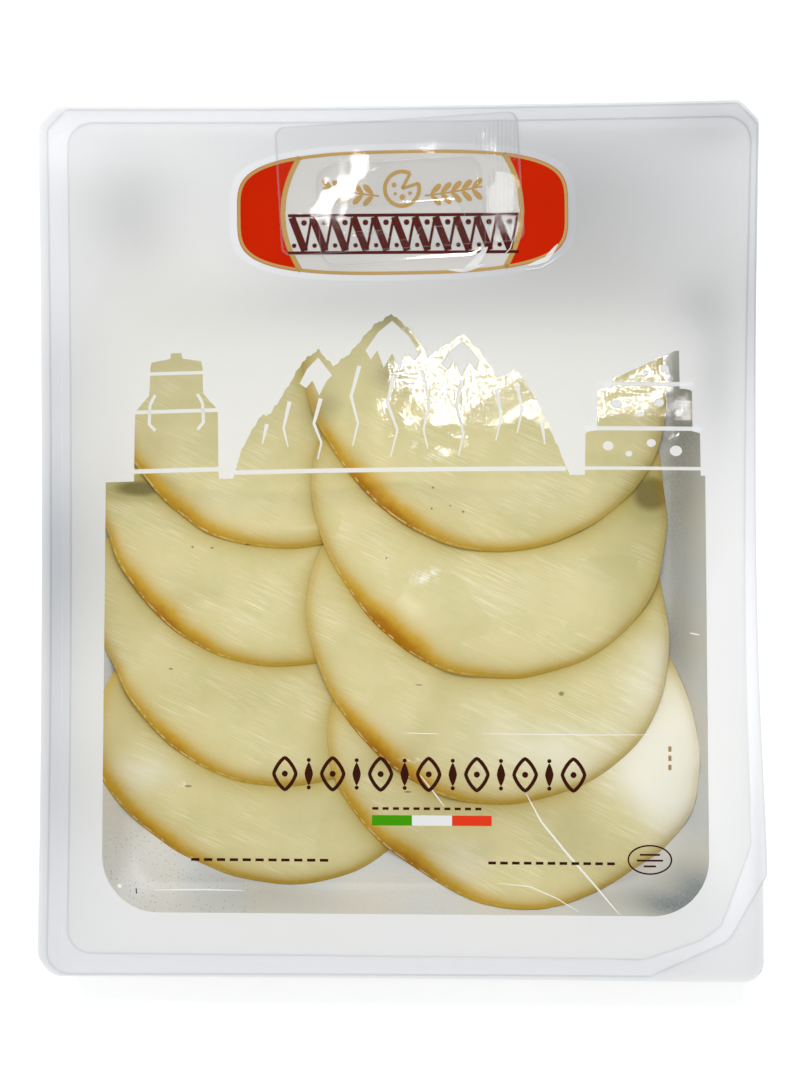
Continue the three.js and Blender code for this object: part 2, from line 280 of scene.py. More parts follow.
class Value:
    # wraps one output of a node, so that an expression on values adds its Math nodes

    def __init__(self, tree, output=None):
        self.tree, self.output = tree, output

    def node(self, kind, settings=None, inputs=None, output=0):
        # a new node, each of whose inputs is a number or another node's output
        made = self.tree.nodes.new(kind)
        for key, value in (settings or {}).items():
            setattr(made, key, value)
        for key, value in (inputs or {}).items():
            if isinstance(value, Value):
                self.tree.links.new(value.output, made.inputs[key])
            else:
                made.inputs[key].default_value = value
        return Value(self.tree, made.outputs[output] if made.outputs else None)

    def math(self, operation, *others):
        return self.node("ShaderNodeMath", {"operation": operation}, dict(enumerate((self, *others))))

    def __add__(self, other):
        return self.math("ADD", other)

    def __mul__(self, other):
        return self.math("MULTIPLY", other)

    def __sub__(self, other):
        return self.math("SUBTRACT", other)

    def __rsub__(self, other):
        return self.node("ShaderNodeMath", {"operation": "SUBTRACT"}, {0: other, 1: self})

    __radd__ = __add__
    __rmul__ = __mul__

    def rise(self, low, high):
        # 0 below low and 1 above high, with a soft step between them
        return self.node(
            "ShaderNodeMapRange", {"interpolation_type": "SMOOTHSTEP"},
            {"Value": self, "From Min": low, "From Max": high})

    def noise(self, scale, detail=2.0, roughness=0.5):
        # seen from above: every finish here lies nearly flat
        return self.node(
            "ShaderNodeTexNoise", {"noise_dimensions": "2D"},
            {"Vector": self, "Scale": scale, "Detail": detail, "Roughness": roughness})

    def attribute(self, name):
        # what the mesh holds under that name
        return self.node("ShaderNodeAttribute", {"attribute_name": name}, output="Fac")

    def other(self, output):
        # another output of the same node
        return Value(self.tree, self.output.node.outputs[output])

    def moved(self, offset):
        # places moved by an offset
        return self.node("ShaderNodeVectorMath", {"operation": "ADD"}, {0: self, 1: offset})

    def drawnOut(self, degrees, times):
        # places turned to lie along a direction and drawn out along it
        return self.node(
            "ShaderNodeMapping", {"vector_type": "TEXTURE"},
            {"Vector": self, "Rotation": (0, 0, math.radians(degrees)), "Scale": (times, 1, 1)})

    def away(self, x, y, halfWidth, halfHeight):
        # distance from a place, 1 on an upright oval round it
        shares = (1 / halfWidth, 1 / halfHeight, 0)
        offset = self.node("ShaderNodeVectorMath", {"operation": "SUBTRACT"}, {0: self, 1: (x, y, 0)})
        scaled = self.node("ShaderNodeVectorMath", {"operation": "MULTIPLY"}, {0: offset, 1: shares})
        return self.node("ShaderNodeVectorMath", {"operation": "LENGTH"}, {0: scaled}, output="Value")

    def blend(self, first, second):
        # a colour between two, with this value as the share of the second
        ends = {"A": colourOf(first), "B": colourOf(second)}
        return self.node("ShaderNodeMix", {"data_type": "RGBA"}, {"Factor": self, **ends}, output="Result")

    def bump(self, height, strength=1.0):
        # the height is in millimetres
        return self.node("ShaderNodeBump", None, {"Height": height, "Distance": mm, "Strength": strength})

    def covered(self, share, cover):
        # this shader with another over a share of it
        return self.node("ShaderNodeMixShader", None, {0: share, 1: self, 2: cover}, output="Shader")

    def surface(self, kind, colour, **inputs):
        # a shader of that kind
        return self.node("ShaderNodeBsdf" + kind, None, {"Color": colourOf(colour), **inputs})


def colourOf(value):
    # three numbers become a colour
    return value if isinstance(value, Value) else (*value, 1.0)


def highest(masks):
    # the highest of several masks at each place
    total, *others = masks
    for mask in others:
        total = total.math("MAXIMUM", mask)
    return total


def linear(red, green, blue):
    # a colour read off a screen, 0 to 255, as light
    channels = np.array([red, green, blue]) / 255
    light = np.where(channels < 0.04045, channels / 12.92, ((channels + 0.055) / 1.055) ** 2.4)
    return tuple(light.tolist())


def startMaterial(name):
    # the material, and its Object coordinates in millimetres
    material = bpy.data.materials.new(name)
    material.use_nodes = True
    material.node_tree.nodes.clear()
    root = Value(material.node_tree)
    coordinates = root.node("ShaderNodeTexCoord", output="Object")
    place = root.node("ShaderNodeVectorMath", {"operation": "SCALE"}, {0: coordinates, "Scale": 1 / mm})
    return material, root, place


def finishMaterial(material, shader):
    # the shader becomes what the material shows
    shader.node("ShaderNodeOutputMaterial", None, {"Surface": shader})
    return material


def principled(root, colour, **inputs):
    # the usual surface, with short names for its inputs
    labels = {
        "rough": "Roughness", "metal": "Metallic", "normal": "Normal",
        "specular": "Specular IOR Level", "glow": "Emission Strength",
    }
    values = {labels[key]: value for key, value in inputs.items()}
    values["Base Color"] = colourOf(colour)
    return root.node("ShaderNodeBsdfPrincipled", None, values, output="BSDF")


# The slices, settled on each other

# centre, radius and turn in degrees, in the order in which they are laid
slices = {
    "places": [
        ("slice_left_4", -32.5, -46.9, 46.5, 16.7),
        ("slice_left_3", -33.6, -19.7, 45.8, -21.9),
        ("slice_left_2", -33.6, 13.2, 46.2, -24.5),
        ("slice_left_1", -32.6, 45.0, 46.2, -26.4),
        ("slice_right_4", 31.7, -51.2, 47.2, 2.3),
        ("slice_right_3", 25.6, -22.9, 47.2, -16.6),
        ("slice_right_2", 26.3, 10.4, 46.6, -17.8),
        ("slice_right_1", 25.0, 45.0, 47.2, -11.5),
    ],
    # [waves round the outline, cosine share, sine share]
    "waves": [(2, 0.006, 0.004), (3, -0.036, -0.025), (4, 0.022, -0.016)],
    # where an outline bulges: turn in degrees, how far round in radians, and how far out
    "bulges": {"slice_right_4": (-29, 0.27, 2.1), "slice_right_3": (-7, 0.3, 0.7)},
    "thickness": 2.3,
    "rimSlope": 0.68,     # how much thinner the very rim is
    "rimReach": 2.3,
    "around": 256,
    "air": 0.03,          # between slices
    "softenRounds": 5,
    "settleRounds": 260,
    "settleShare": 1.035, # of the radius, which takes in the slanting cut edge
    "sag": 0.011,         # how far a slice sinks in each round
    "wobble": 0.14,       # unevenness of the cut rim
    # smoke has gone in on one side: [turn in degrees, strength of its dark middle, of its amber
    # flanks] for each slice, in the order of the places
    "smoke": [
        (-140, 0.10, 0.58), (-130, 0.18, 0.50), (-133, 0.32, 0.54), (-127, 0.18, 0.54),
        (-133, 0.36, 0.56), (-131, 0.38, 0.56), (-129, 0.62, 0.50), (-130, 0.52, 0.52),
    ],
    "smokeMiddle": 0.32,  # how far round these two reach, in radians
    "smokeFlank": 0.78,
    "smokeWobble": 0.05,
    "smokeDeep": 3.4,
    "smokeThin": 0.9,
    "smokeTail": 3.5,     # how slowly the last of it fades
    "smokeTailShare": 0.35,
    "tintDepth": 1.6,     # of the thin olive line round the rest of the rim
    "tintWeak": 0.36,     # its strength at its weakest
    "tintTurn": -95,      # where it is strongest, and how far round
    "tintSpread": 0.9,
    "glintInset": -0.3,   # the bright line on the wet cut edge
    "glintWidth": 0.22,
    "glintSpread": 0.5,
    "shadeReach": 2.8,    # of the warm shadow beside a slice that lies on top
    "tintFade": 0.3, "tintLeast": 0.7,     # how much fainter both are where the cheese looks pale
    "shadeFade": 1.3, "shadeLeast": 0.2,
}
gridStep = 1.0
gridX = np.arange(-98, 98.5, gridStep)
gridY = np.arange(-118, 118.5, gridStep)
meshX, meshY = np.meshgrid(gridX, gridY)


def bells(x, y, spots):
    # the sum of bells over places, each x, y, half width, half height and, unless it is 1, height
    return sum(
        (*height, 1)[0] * np.exp(-((x - spotX) / halfX) ** 2 - ((y - spotY) / halfY) ** 2)
        for spotX, spotY, halfX, halfY, *height in spots)


def bellRound(turn, degrees, reach):
    # a bell over the angle from a direction
    off = (turn - math.radians(degrees) + math.pi) % (2 * math.pi) - math.pi
    return np.exp(-(off / reach) ** 2)


def sliceRadius(place, turn):
    # a circle with a few waves round it, and one bell where an outline bulges
    name, _, _, radius, start = place
    local = turn - math.radians(start)
    waves = sum(a * np.cos(k * local) + b * np.sin(k * local) for k, a, b in slices["waves"])
    bulgeTurn, reach, out = slices["bulges"].get(name, (0, 1, 0))
    return radius * (1 + waves) + out * bellRound(turn, bulgeTurn, reach)


def shareOfSlice(place, x, y):
    # 0 at the centre and 1 on the rim
    dx, dy = x - place[1], y - place[2]
    return np.hypot(dx, dy) / sliceRadius(place, np.arctan2(dy, dx))


def shifted(field, down, right):
    # the field moved by whole cells, with its edge values repeated
    rows = np.clip(np.arange(field.shape[0]) + down, 0, field.shape[0] - 1)
    columns = np.clip(np.arange(field.shape[1]) + right, 0, field.shape[1] - 1)
    return field[rows][:, columns]


def averaged(field):
    # each cell takes the mean of itself and its eight neighbours
    rows = field + shifted(field, 1, 0) + shifted(field, -1, 0)
    return (rows + shifted(rows, 0, 1) + shifted(rows, 0, -1)) / 9


def widened(field, cells):
    # each cell takes the highest of itself and its eight neighbours, round after round
    for _ in range(cells):
        rows = np.maximum.reduce([field, shifted(field, 1, 0), shifted(field, -1, 0)])
        field = np.maximum.reduce([rows, shifted(rows, 0, 1), shifted(rows, 0, -1)])
    return field


def sampleGrid(field, x, y):
    # cubic B-spline through the four nearest grid lines each way
    across, up = (x - gridX[0]) / gridStep, (y - gridY[0]) / gridStep
    column, row = np.floor(across).astype(int), np.floor(up).astype(int)

    def weights(t):
        nearer = (3 * t ** 3 - 6 * t ** 2 + 4) / 6
        further = (-3 * t ** 3 + 3 * t ** 2 + 3 * t + 1) / 6
        return (1 - t) ** 3 / 6, nearer, further, t ** 3 / 6

    total = 0
    for i, weightX in enumerate(weights(across - column)):
        for j, weightY in enumerate(weights(up - row)):
            rows = np.clip(row + j - 1, 0, field.shape[0] - 1)
            columns = np.clip(column + i - 1, 0, field.shape[1] - 1)
            total = total + weightX * weightY * field[rows, columns]
    return total


def sliceHeight(inset):
    # the thickness falls off exponentially towards the rim
    fall = slices["rimSlope"] * np.exp(-np.clip(inset, 0, None) / slices["rimReach"])
    return slices["thickness"] * (1 - fall)


def settleSlice(place, pile):
    # the slice sinks a little in each round, is averaged with its surroundings as a sheet
    # under tension is, and stays on top of what lies under it
    base = widened(pile, 2)
    for _ in range(slices["softenRounds"]):
        base = averaged(base)
    base = np.maximum(base, trayTop(meshX, meshY)) + slices["air"]
    inside = (shareOfSlice(place, meshX, meshY) <= slices["settleShare"]).astype(float)
    weight = np.maximum(averaged(inside), 1e-6)
    under = base
    for _ in range(slices["settleRounds"]):
        under = np.maximum(base, averaged(under * inside) / weight - slices["sag"])
    return under


# insets from the rim, and heights as shares of the thickness, from the top's middle over the rim
# to below; the cut edge slants outwards and its foot rests on the slice below
rimInsets = [7.5, 6.7, 6, 5.3, 4.7, 4.1, 3.6, 3.1, 2.6, 2.15, 1.75, 1.4, 1.05, 0.75, 0.5]
topInsets = np.concatenate([np.linspace(44, 8.4, 36), rimInsets])
edgeProfile = np.array([
    (0.28, 0.985), (0.06, 0.93), (-0.12, 0.83), (-0.28, 0.69), (-0.44, 0.51), (-0.60, 0.30),
    (-0.76, 0.08), (-0.84, -0.14), (0.0, -0.12)])
bottomInsets = np.array([0.6, 1.6, 3.5, 7, 12, 18, 24, 30, 36, 42])


def buildSlice(place, under, seed, above, smoked):
    # rings round the centre, each at one inset from the outline, which small random waves roughen
    draw = np.random.default_rng(seed)
    turn = np.linspace(0, 2 * math.pi, slices["around"], endpoint=False)
    rim = sliceRadius(place, turn)
    for wave in range(5, 24):
        height = slices["wobble"] * draw.normal() / wave ** 0.6
        rim = rim + height * np.sin(wave * turn + draw.uniform(0, 6.3))
    insets = np.concatenate([topInsets, edgeProfile[:, 0], bottomInsets])
    heights = np.concatenate([np.ones(len(topInsets)), edgeProfile[:, 1], np.zeros(len(bottomInsets))])
    reach = rim[None] * (1 - insets[:, None] / place[3])
    x = place[1] + reach * np.cos(turn)
    y = place[2] + reach * np.sin(turn)
    lift = (heights * sliceHeight(insets))[:, None]
    rows = np.stack([x, y, sampleGrid(under, x, y) + lift], -1)
    shape = closeRows(rows)

    # smoke goes in deepest on one side: two bells round that direction, made uneven by a few waves
    smokeTurn, middle, flank = smoked
    side = middle * bellRound(turn, smokeTurn, slices["smokeMiddle"])
    side = side + flank * bellRound(turn, smokeTurn, slices["smokeFlank"])
    for wave in (3, 5, 8, 13, 21):
        height = slices["smokeWobble"] * draw.normal()
        side = side * (1 + height * np.sin(wave * turn + draw.uniform(0, 6.3)))
    depth = slices["smokeThin"] + slices["smokeDeep"] * side
    onTop = (np.arange(len(insets)) < len(topInsets) + 2).astype(float)[:, None]
    inward = np.clip(insets, 0, None)[:, None]
    tail = slices["smokeTailShare"] * np.exp(-inward / slices["smokeTail"])
    fade = (1 - slices["smokeTailShare"]) * np.exp(-(inward / depth[None]) ** 2) + tail
    smoke = np.clip(side, 0, 1.15) * (fade * onTop + (1 - onTop))

    # the olive line round the rest of the rim, the wet glint on the cut edge, and the shadow that
    # a slice on top casts
    weak = slices["tintWeak"]
    tint = weak + (1 - weak) * bellRound(turn, slices["tintTurn"], slices["tintSpread"])
    tint = tint * (np.exp(-inward / slices["tintDepth"]) * onTop + (1 - onTop))
    line = np.exp(-((insets[:, None] - slices["glintInset"]) / slices["glintWidth"]) ** 2)
    glint = line * bellRound(turn, smokeTurn, slices["glintSpread"])
    shade = np.zeros_like(x)
    for other in above:
        beyond = (shareOfSlice(other, x, y) - 1) * other[3]
        cast = np.exp(-np.clip(beyond, 0, None) / slices["shadeReach"])
        shade = np.maximum(shade, np.where(beyond > -1, cast, 0))

    # where the cheese looks pale, its rims and shadows are faint
    tone = bells(x, y, cheese["tones"] + cheese["ownTones"].get(place[0], []))
    tint = tint * np.clip(1 - slices["tintFade"] * tone, slices["tintLeast"], 1)
    shade = shade * np.clip(1 - slices["shadeFade"] * tone, slices["shadeLeast"], 1)
    fields = {
        "smoke": smoke, "tint": tint, "glint": glint, "shade": shade, "tone": tone,
        "marks": bells(x, y, cheese["brightMarks"]), "gleam": bells(x, y, cheese["gleams"])}
    poles = np.zeros(2)
    fields = {key: np.concatenate([field.ravel(), poles]) for key, field in fields.items()}
    return shape, {**fields, "cut": np.full(len(shape[0]), float(seed))}


cheese = {
    # colours
    "deep": linear(181, 173, 118),
    "shadowDark": linear(122, 112, 62),
    "mid": linear(206, 198, 144),
    "warm": linear(215, 203, 152),
    "pale": linear(240, 237, 220),
    "shade": linear(168, 144, 44),
    "tint": linear(186, 153, 48),
    "smokeLight": linear(197, 157, 52),
    "smokeDark": linear(170, 112, 0),
    "knifeGlint": linear(242, 235, 202),
    "glint": linear(252, 240, 178),
    "gleam": linear(248, 246, 232),
    "pitShade": linear(84, 70, 20),
    # how strongly each shows
    "knifeGlintShare": 0.42, "shadeShare": 0.95, "glintShare": 0.6, "gleamShare": 0.8, "pitShadeShare": 0.65,
    "rough": 0.48, "wetGloss": 0.18,
    # x, y, half width, half height, and how much paler or deeper the cheese is there
    "tones": [
        (50, -82, 18, 10, -0.4), (18, -87, 10, 8, 0.4), (43, -57, 20, 9, 0.55),
        (-43, -42, 24, 10, -0.4), (-56, -76, 16, 10, -0.25), (-70, -63, 12, 8, 0.45),
        (61, -5, 12, 18, -0.55), (20, -14, 18, 10, 0.2), (-10, -52, 14, 10, 0.25),
        # the first two here are painted shadow below the ends of the window's top edge, deep enough to take
        # the shadowDark colour
        (68, 13, 6, 5.5, -2.4), (-70, 14.2, 9, 3.0, -2.2), (35, 4, 14, 6, -0.5),
        (-57, -15, 14, 8, -0.4), (22, -47, 16, 8, 0.1), (-46, 9, 12, 6, 0.25),
    ],
    # the same for one slice only
    "ownTones": {
        "slice_right_4": [(73, -58, 16, 24, 1.1)], "slice_right_3": [(70, -34, 12, 16, 0.5)],
    },
    "brightMarks": [   # x, y, half width, half height: where the knife marks are plainest
        (24, -6, 12, 4.5), (51, -64, 9, 5), (-33, -14, 12, 6), (20, -22, 14, 8),
        (-12, -64, 10, 5), (54, -42, 10, 7), (4, 6, 10, 5), (-40, -44, 10, 5),
    ],
    "gleams": [       # x, y, half width, half height: ragged white glints where the film comes away
        (6.6, -10.0, 3.4, 1.5), (9.4, -8.4, 1.4, 0.7), (4.4, 25.0, 1.6, 1.2), (9.6, 22.6, 2.0, 1.2),
        (-59, -66.0, 1.6, 0.4), (4, -58.6, 3.2, 0.5),
    ],
    "wetPatches": [   # x, y, half width, half height: where the film lies on the cheese
        (10, -20, 12, 10.5), (55, -15, 14, 10), (-10, -80, 12, 7), (-24, 6, 9, 6),
    ],
    # small holes and cracks, painted dark: the shade inside them is painted
    "pits": [         # x, y, half width, half height
        (-57.2, -66.4, 1.2, 0.36), (-50.2, -1.8, 0.5, 0.3), (-55.6, -1.6, 0.4, 0.4),
        (-40.6, -0.9, 1.0, 0.3), (9.4, 14.2, 0.4, 0.35), (9.1, 8.6, 0.35, 0.4),
        (17.4, 7.8, 0.4, 0.35), (14.0, 9.4, 0.3, 0.3), (-3.0, -4.6, 0.35, 0.3),
        (5.6, -38.4, 1.2, 0.2), (2.4, -67.4, 1.2, 0.3), (-61.6, -34.5, 0.7, 0.3),
        (43.6, -40.9, 0.85, 0.7),
    ],
    "knifeTurn": -25,
}


def cheeseMaterial():
    # knife marks with a painted highlight, wet patches, pits with painted shade in them, tones with two
    # painted shadow spots, and smoke, laid over each other as colours; each slice takes its own part of the
    # noise
    material, root, place = startMaterial("smokedCheese")
    field = root.attribute
    cut = field("cut")
    spot = place.moved(root.node("ShaderNodeCombineXYZ", None, {"X": cut * 37.0, "Y": cut * 19.0}))

    # knife marks, whose brightness is a painted highlight along them: noise drawn out along the cut, in
    # patches
    strands = spot.drawnOut(cheese["knifeTurn"], 30.0)
    coarse = strands.noise(0.45, 1.0, 0.6)
    fine = strands.noise(3.4, 1.0, 0.5)
    patches = spot.noise(0.07, 1.0, 0.5).rise(0.40, 0.62)
    plain = patches * 0.7 + field("marks") * 0.8 + 0.1
    knifeGlints = fine.rise(0.44, 0.70) * (coarse.rise(0.35, 0.6) * 0.6 + 0.4) * plain

    # where the film touches, the cut face is wet and its marks don't show
    grain = spot.noise(0.45, 2.0, 0.6)
    wobble = place.noise(0.12, 1.0, 0.5) - 0.5
    wet = highest([(place.away(*patch) + wobble * 1.1).rise(1.02, 0.95) for patch in cheese["wetPatches"]])
    pits = highest([place.away(*pitShade).rise(1.1, 0.5) for pitShade in cheese["pits"]])

    broad = spot.noise(0.04, 1.0, 0.5)
    tone = field("tone") + (broad - 0.5) * 0.45 + (coarse - 0.5) * 0.3 * patches - wet * 0.05
    body = ((wobble + grain * 0.6).rise(-0.05, 0.55) * 0.7).blend(cheese["mid"], cheese["warm"])
    body = tone.rise(0.0, -0.9).blend(body, cheese["deep"])
    body = tone.rise(0.0, 1.0).blend(body, cheese["pale"])
    # painted highlight along the knife marks, which the wet patches take away
    body = (knifeGlints * (1 - wet * 0.9) * cheese["knifeGlintShare"]).blend(body, cheese["knifeGlint"])
    body = (field("shade") * cheese["shadeShare"]).blend(body, cheese["shade"])
    # painted shadow: only the two deepest tones, below the window's top edge, take this colour
    body = tone.rise(-1.0, -2.0).blend(body, cheese["shadowDark"])
    body = (field("tint") * (0.8 + grain * 0.4)).blend(body, cheese["tint"])
    smoke = field("smoke") * (0.8 + grain * 0.4 + wobble * 0.5)
    body = (smoke * 2.1).blend(body, cheese["smokeLight"])
    body = smoke.rise(0.42, 1.0).blend(body, cheese["smokeDark"])
    glint = field("glint") * grain.rise(0.44, 0.60) * cheese["glintShare"]
    gleam = field("gleam") * (fine + grain).rise(0.80, 1.20) * cheese["gleamShare"]
    body = glint.blend(body, cheese["glint"])
    body = gleam.blend(body, cheese["gleam"])
    # painted shade inside the small holes and cracks
    body = (pits * cheese["pitShadeShare"]).blend(body, cheese["pitShade"])
    rough = cheese["rough"] - wet * cheese["wetGloss"]
    normal = root.bump(fine, 0.02)
    return finishMaterial(material, principled(root, body, rough=rough, normal=normal, specular=0.1))


cheeseFinish = cheeseMaterial()
pile = np.zeros_like(meshX)
for number, place in enumerate(slices["places"]):
    under = settleSlice(place, pile)
    share = shareOfSlice(place, meshX, meshY)
    reached = share <= 1.0
    top = under + sliceHeight(np.clip(1 - share, 0, None) * place[3])
    pile = np.where(reached, np.maximum(pile, top), pile)
    shape, attributes = buildSlice(
        place, under, number + 1, slices["places"][number + 1:], slices["smoke"][number])
    addPiece("cheese_" + place[0], shape, cheeseFinish, [place[0]], 50, attributes)
    print("settled", place[0], "top", round(float(top[reached].max()), 2))


# The tray

def shrunkLoop(loop, share):
    # a loop drawn smaller about its middle
    middle = np.array([(loop[0] + loop[1]) / 2] * 2 + [(loop[2] + loop[3]) / 2] * 2)
    small = loop.copy()
    small[:4] = middle + share * (loop[:4] - middle)
    small[4:8] *= share
    return small


tray = {
    "light": linear(226, 223, 216),
    "mid": linear(211, 207, 195),
    "cool": linear(205, 207, 204),
    "shadowDark": linear(124, 123, 108),
    "blue": linear(108, 119, 124),
    "bluish": (77, -94, 22, 20),      # where its shadow is blue: x, y, half width, half height
    "grain": linear(190, 186, 176),
    "speck": linear(128, 112, 92),
    "speckled": (-62, -92, 34, 20),   # where the specks are: x, y, half width, half height
    # painted shadow: x, y, half width, half height, and how much darker the tray is there; below 0, painted
    # light makes it lighter
    "tones": [
        (72, 8, 9, 34, 0.75), (80, 40, 10, 18, 0.7), (60, -92, 14, 9, 0.4), (-73, -90, 11, 10, -0.5),
        (80, -93, 7, 7, 0.8), (71, -97, 7, 3, 0.6), (-38, -96, 26, 6, 0.3), (75, -50, 6, 28, 0.22),
        (-67, -80, 6, 4.5, 0.5), (73, -27, 6, 12, 0.35), (-54, -87.5, 9, 4, 0.5), (-36, -91.5, 12, 3.5, 0.3),
    ],
    "edge": 0.12,                     # how much thinner the sheet is round the flange's edge
}


def trayMaterial():
    # a cloudy grey with a fine grain, dark specks at one corner, painted shadows from the tones, and painted
    # light where they fall below 0
    material, root, place = startMaterial("speckledTray")
    cloud = place.noise(0.05, 1.0, 0.5)
    grain = place.noise(1.6, 1.0, 0.7)
    spots = place.node("ShaderNodeTexVoronoi", {"voronoi_dimensions": "2D"}, {"Vector": place, "Scale": 0.85})
    chance = root.node("ShaderNodeSeparateColor", None, {"Color": spots.other("Color")}, output="Red")
    specks = spots.rise(0.22, 0.08) * chance.rise(0.5, 0.9) * place.away(*tray["speckled"]).rise(1.0, 0.6)
    tone = root.attribute("tone")
    shadow = place.away(*tray["bluish"]).rise(1.0, 0.5).blend(tray["shadowDark"], tray["blue"])
    colour = cloud.rise(0.3, 0.7).blend(tray["mid"], tray["cool"])
    colour = tone.blend(colour, shadow)
    # painted light where the tones fall below 0
    colour = tone.rise(0.0, -0.8).blend(colour, tray["light"])
    colour = (grain.rise(0.40, 0.70) * 0.2).blend(colour, tray["grain"])
    colour = (specks * 0.5).blend(colour, tray["speck"])
    return finishMaterial(material, principled(root, colour, rough=0.45, specular=0.3))


def buildTray():
    # the loop grows from the floor to the mouth and the flange while its height follows the wall's
    # rise, and comes back below at the sheet's thickness, measured square to the slope
    counts = (110, 130, 110, 130)
    stations = np.concatenate([
        np.linspace(-pack["floorBend"], pack["floorBend"], 9), np.linspace(0.24, 0.86, 8),
        np.linspace(1 - pack["mouthBend"], 1 + pack["mouthBend"], 7)])
    rise = packHigh[2] - pack["sheet"]
    run = pack["mouth"][1] - pack["floor"][1]
    inwards = np.array([1, -1, 1, -1] + [-0.6] * 4 + [0] * 4)
    centre = [shrunkLoop(pack["floor"], share) for share in (0.08, 0.35, 0.65)]
    walls = [pack["floor"] + t * (pack["mouth"] - pack["floor"]) for t in stations]
    flange = [pack["flange"] + inset * inwards for inset in (2.4, 2.1, 0.25, 0.0)]
    slope = np.gradient(wallRise(stations), stations) * rise / run
    sheet, edge, top = pack["sheet"], tray["edge"], packHigh[2]
    heights = np.concatenate([
        [sheet] * len(centre), sheet + rise * wallRise(stations), [top, top - edge, top - edge, top - 0.3]])
    depth = np.concatenate([
        [sheet] * len(centre), sheet * np.hypot(1, slope), [sheet, sheet - edge, sheet - edge, 0.1]])
    plans = np.array([loopSections(loop, counts) for loop in centre + walls + flange])
    level = np.ones(plans.shape[1])
    return slab(plans, np.maximum(heights - depth, 0)[:, None] * level, heights[:, None] * level)


shape = buildTray()
tone = bells(shape[0][:, 0], shape[0][:, 1], tray["tones"])
addPiece("tray_shell", shape, trayMaterial(), ["tray"], attributes={"tone": tone})
print("tray made")


# The clear film

white = (1, 1, 1)


def clearShader(root, normal, rough, base, edge, shadeVeil=None):
    # see-through, with a mirror whose share grows towards grazing angles, and where given a grey veil of
    # painted shade
    facing = root.node("ShaderNodeLayerWeight", None, {"Blend": 0.30}, output="Facing")
    gloss = root.surface("Anisotropic", white, Roughness=rough, Normal=normal)
    clear = root.surface("Transparent", white).covered(facing * facing * edge + base, gloss)
    return clear if shadeVeil is None else clear.covered(shadeVeil, root.surface("Diffuse", (0.40, 0.41, 0.42)))


def plainClear():
    # see-through without any gloss, for the faces that look down
    material, root, _ = startMaterial("clearUnderside")
    return finishMaterial(material, root.surface("Transparent", white))


def highlightMaterial(name, share):
    # a painted highlight: milky white over a share of what is under it
    material, root, _ = startMaterial(name)
    milk = root.surface("Diffuse", (0.95, 0.95, 0.93))
    return finishMaterial(material, root.surface("Transparent", white).covered(share, milk))


def filmMaterial():
    # gloss that soft ripples bend, with a fine mottle, and dull bands across it
    material, root, place = startMaterial("clearFilm")
    ripples = place.noise(film["rippleSize"], 1.0, 0.55)
    mottle = place.noise(film["mottleSize"], 1.0, 0.6)
    gaps = place.drawnOut(film["gapTurn"], 4.0).noise(film["gapSize"], 1.0, 0.5)
    relief = ripples * film["ripple"] + mottle * film["mottle"]
    mirror = (mottle.rise(0.42, 0.58) * 1.5 + 0.05) * (gaps.rise(0.60, 0.52) * 0.85 + 0.15) * film["mirror"]
    return finishMaterial(material, clearShader(root, root.bump(relief), 0.03, mirror, 0.25))


def buildFilm():
    # loops from the middle out to the flange's edge, at the film's height
    counts = (84, 100, 84, 100)
    shares = (0, 0.03, 0.08, 0.16, 0.4, 0.55, 0.62, 0.7, 0.8, 0.9, 0.998)
    inner = [shrunkLoop(pack["mouth"], share) for share in np.linspace(0.03, 0.985, 104)]
    outer = [pack["mouth"] + t * (pack["flange"] - pack["mouth"]) for t in shares]
    plans = np.array([loopSections(loop, counts) for loop in inner + outer])
    top = filmTop(plans[..., 0], plans[..., 1])
    return slab(plans, top - film["thickness"], top)


underside = plainClear()
addPiece("lid_sheet", buildFilm(), filmMaterial(), ["lid_film"], under=underside)
print("film made")


# The white print, with its clear window and the cut-outs that stand on it

windowPrint = {
    "window": np.array([-76.7, 80.7, -97.9, 16.5, 15, 0.02, 0.02, 15, 0.0, 0, 0, 0]),
    "spread": 1.1,       # how much wider it is on both sides at its lower end
    "topLeft": 15.4, "topRise": 1.6, "topBulge": 0.9,     # its top edge
    "lift": 0.05, "thickness": 0.03, "patchTop": 64.0,
    "churn": -58.0, "wheels": 64.5,
    # ridge line of the hills: places along the pack, and heights over the window
    "hills": [
        (-43, 0), (-40.5, 8), (-36, 16), (-33, 17), (-29, 23), (-24.5, 30.5), (-20.5, 33.5), (-16.5, 29),
        (-12, 32.5), (-6, 39.5), (-1, 42.5), (4, 38), (8.5, 31), (13, 34), (17.5, 37), (22, 32.5),
        (27, 25), (31.5, 27.5), (36, 21), (41, 10.5), (45.5, 0),
    ],
    # painted shade and light: x, y, half width, half height, and how much darker or lighter the white is
    # there
    "tones": [
        (43, 88, 46, 24, 0.62), (62, 66, 30, 14, 0.22), (-85, -4, 16, 26, 0.38), (-85, -66, 14, 18, 0.16),
        (92, 56, 14, 20, 0.22), (-80, 104, 30, 8, -0.2), (90, -44, 13, 56, -0.46), (-70, 86, 12, 16, 0.34),
        (-60, 56, 20, 14, 0.06), (-10, 62, 46, 8, 0.24), (79, 61, 7, 7, 0.22), (86, 109, 18, 7, 0.30),
        (-91, -20, 6, 70, 0.20), (-86, 44, 14, 16, 0.14), (83, 42, 5, 16, 0.24), (96, -30, 3.4, 90, 0.36),
    ],
    "ground": 0.26,
    "through": 0.30,     # share of light that the ink lets through
}


def windowTop(x):
    # the window's top edge rises to the right and bulges by a parabola
    rise = (x + 77) / 157 * windowPrint["topRise"]
    return windowPrint["topLeft"] + rise + windowPrint["topBulge"] * (1 - (x / 78) ** 2)


def wheelTop(x, half, height):
    # a flat top with rounded ends, by an eighth power
    rounded = np.clip(1 - (x / (half + 0.1)) ** 8, 0, 1) ** 0.5
    return np.where(np.abs(x) < half, height + 1.2 * rounded, 0)


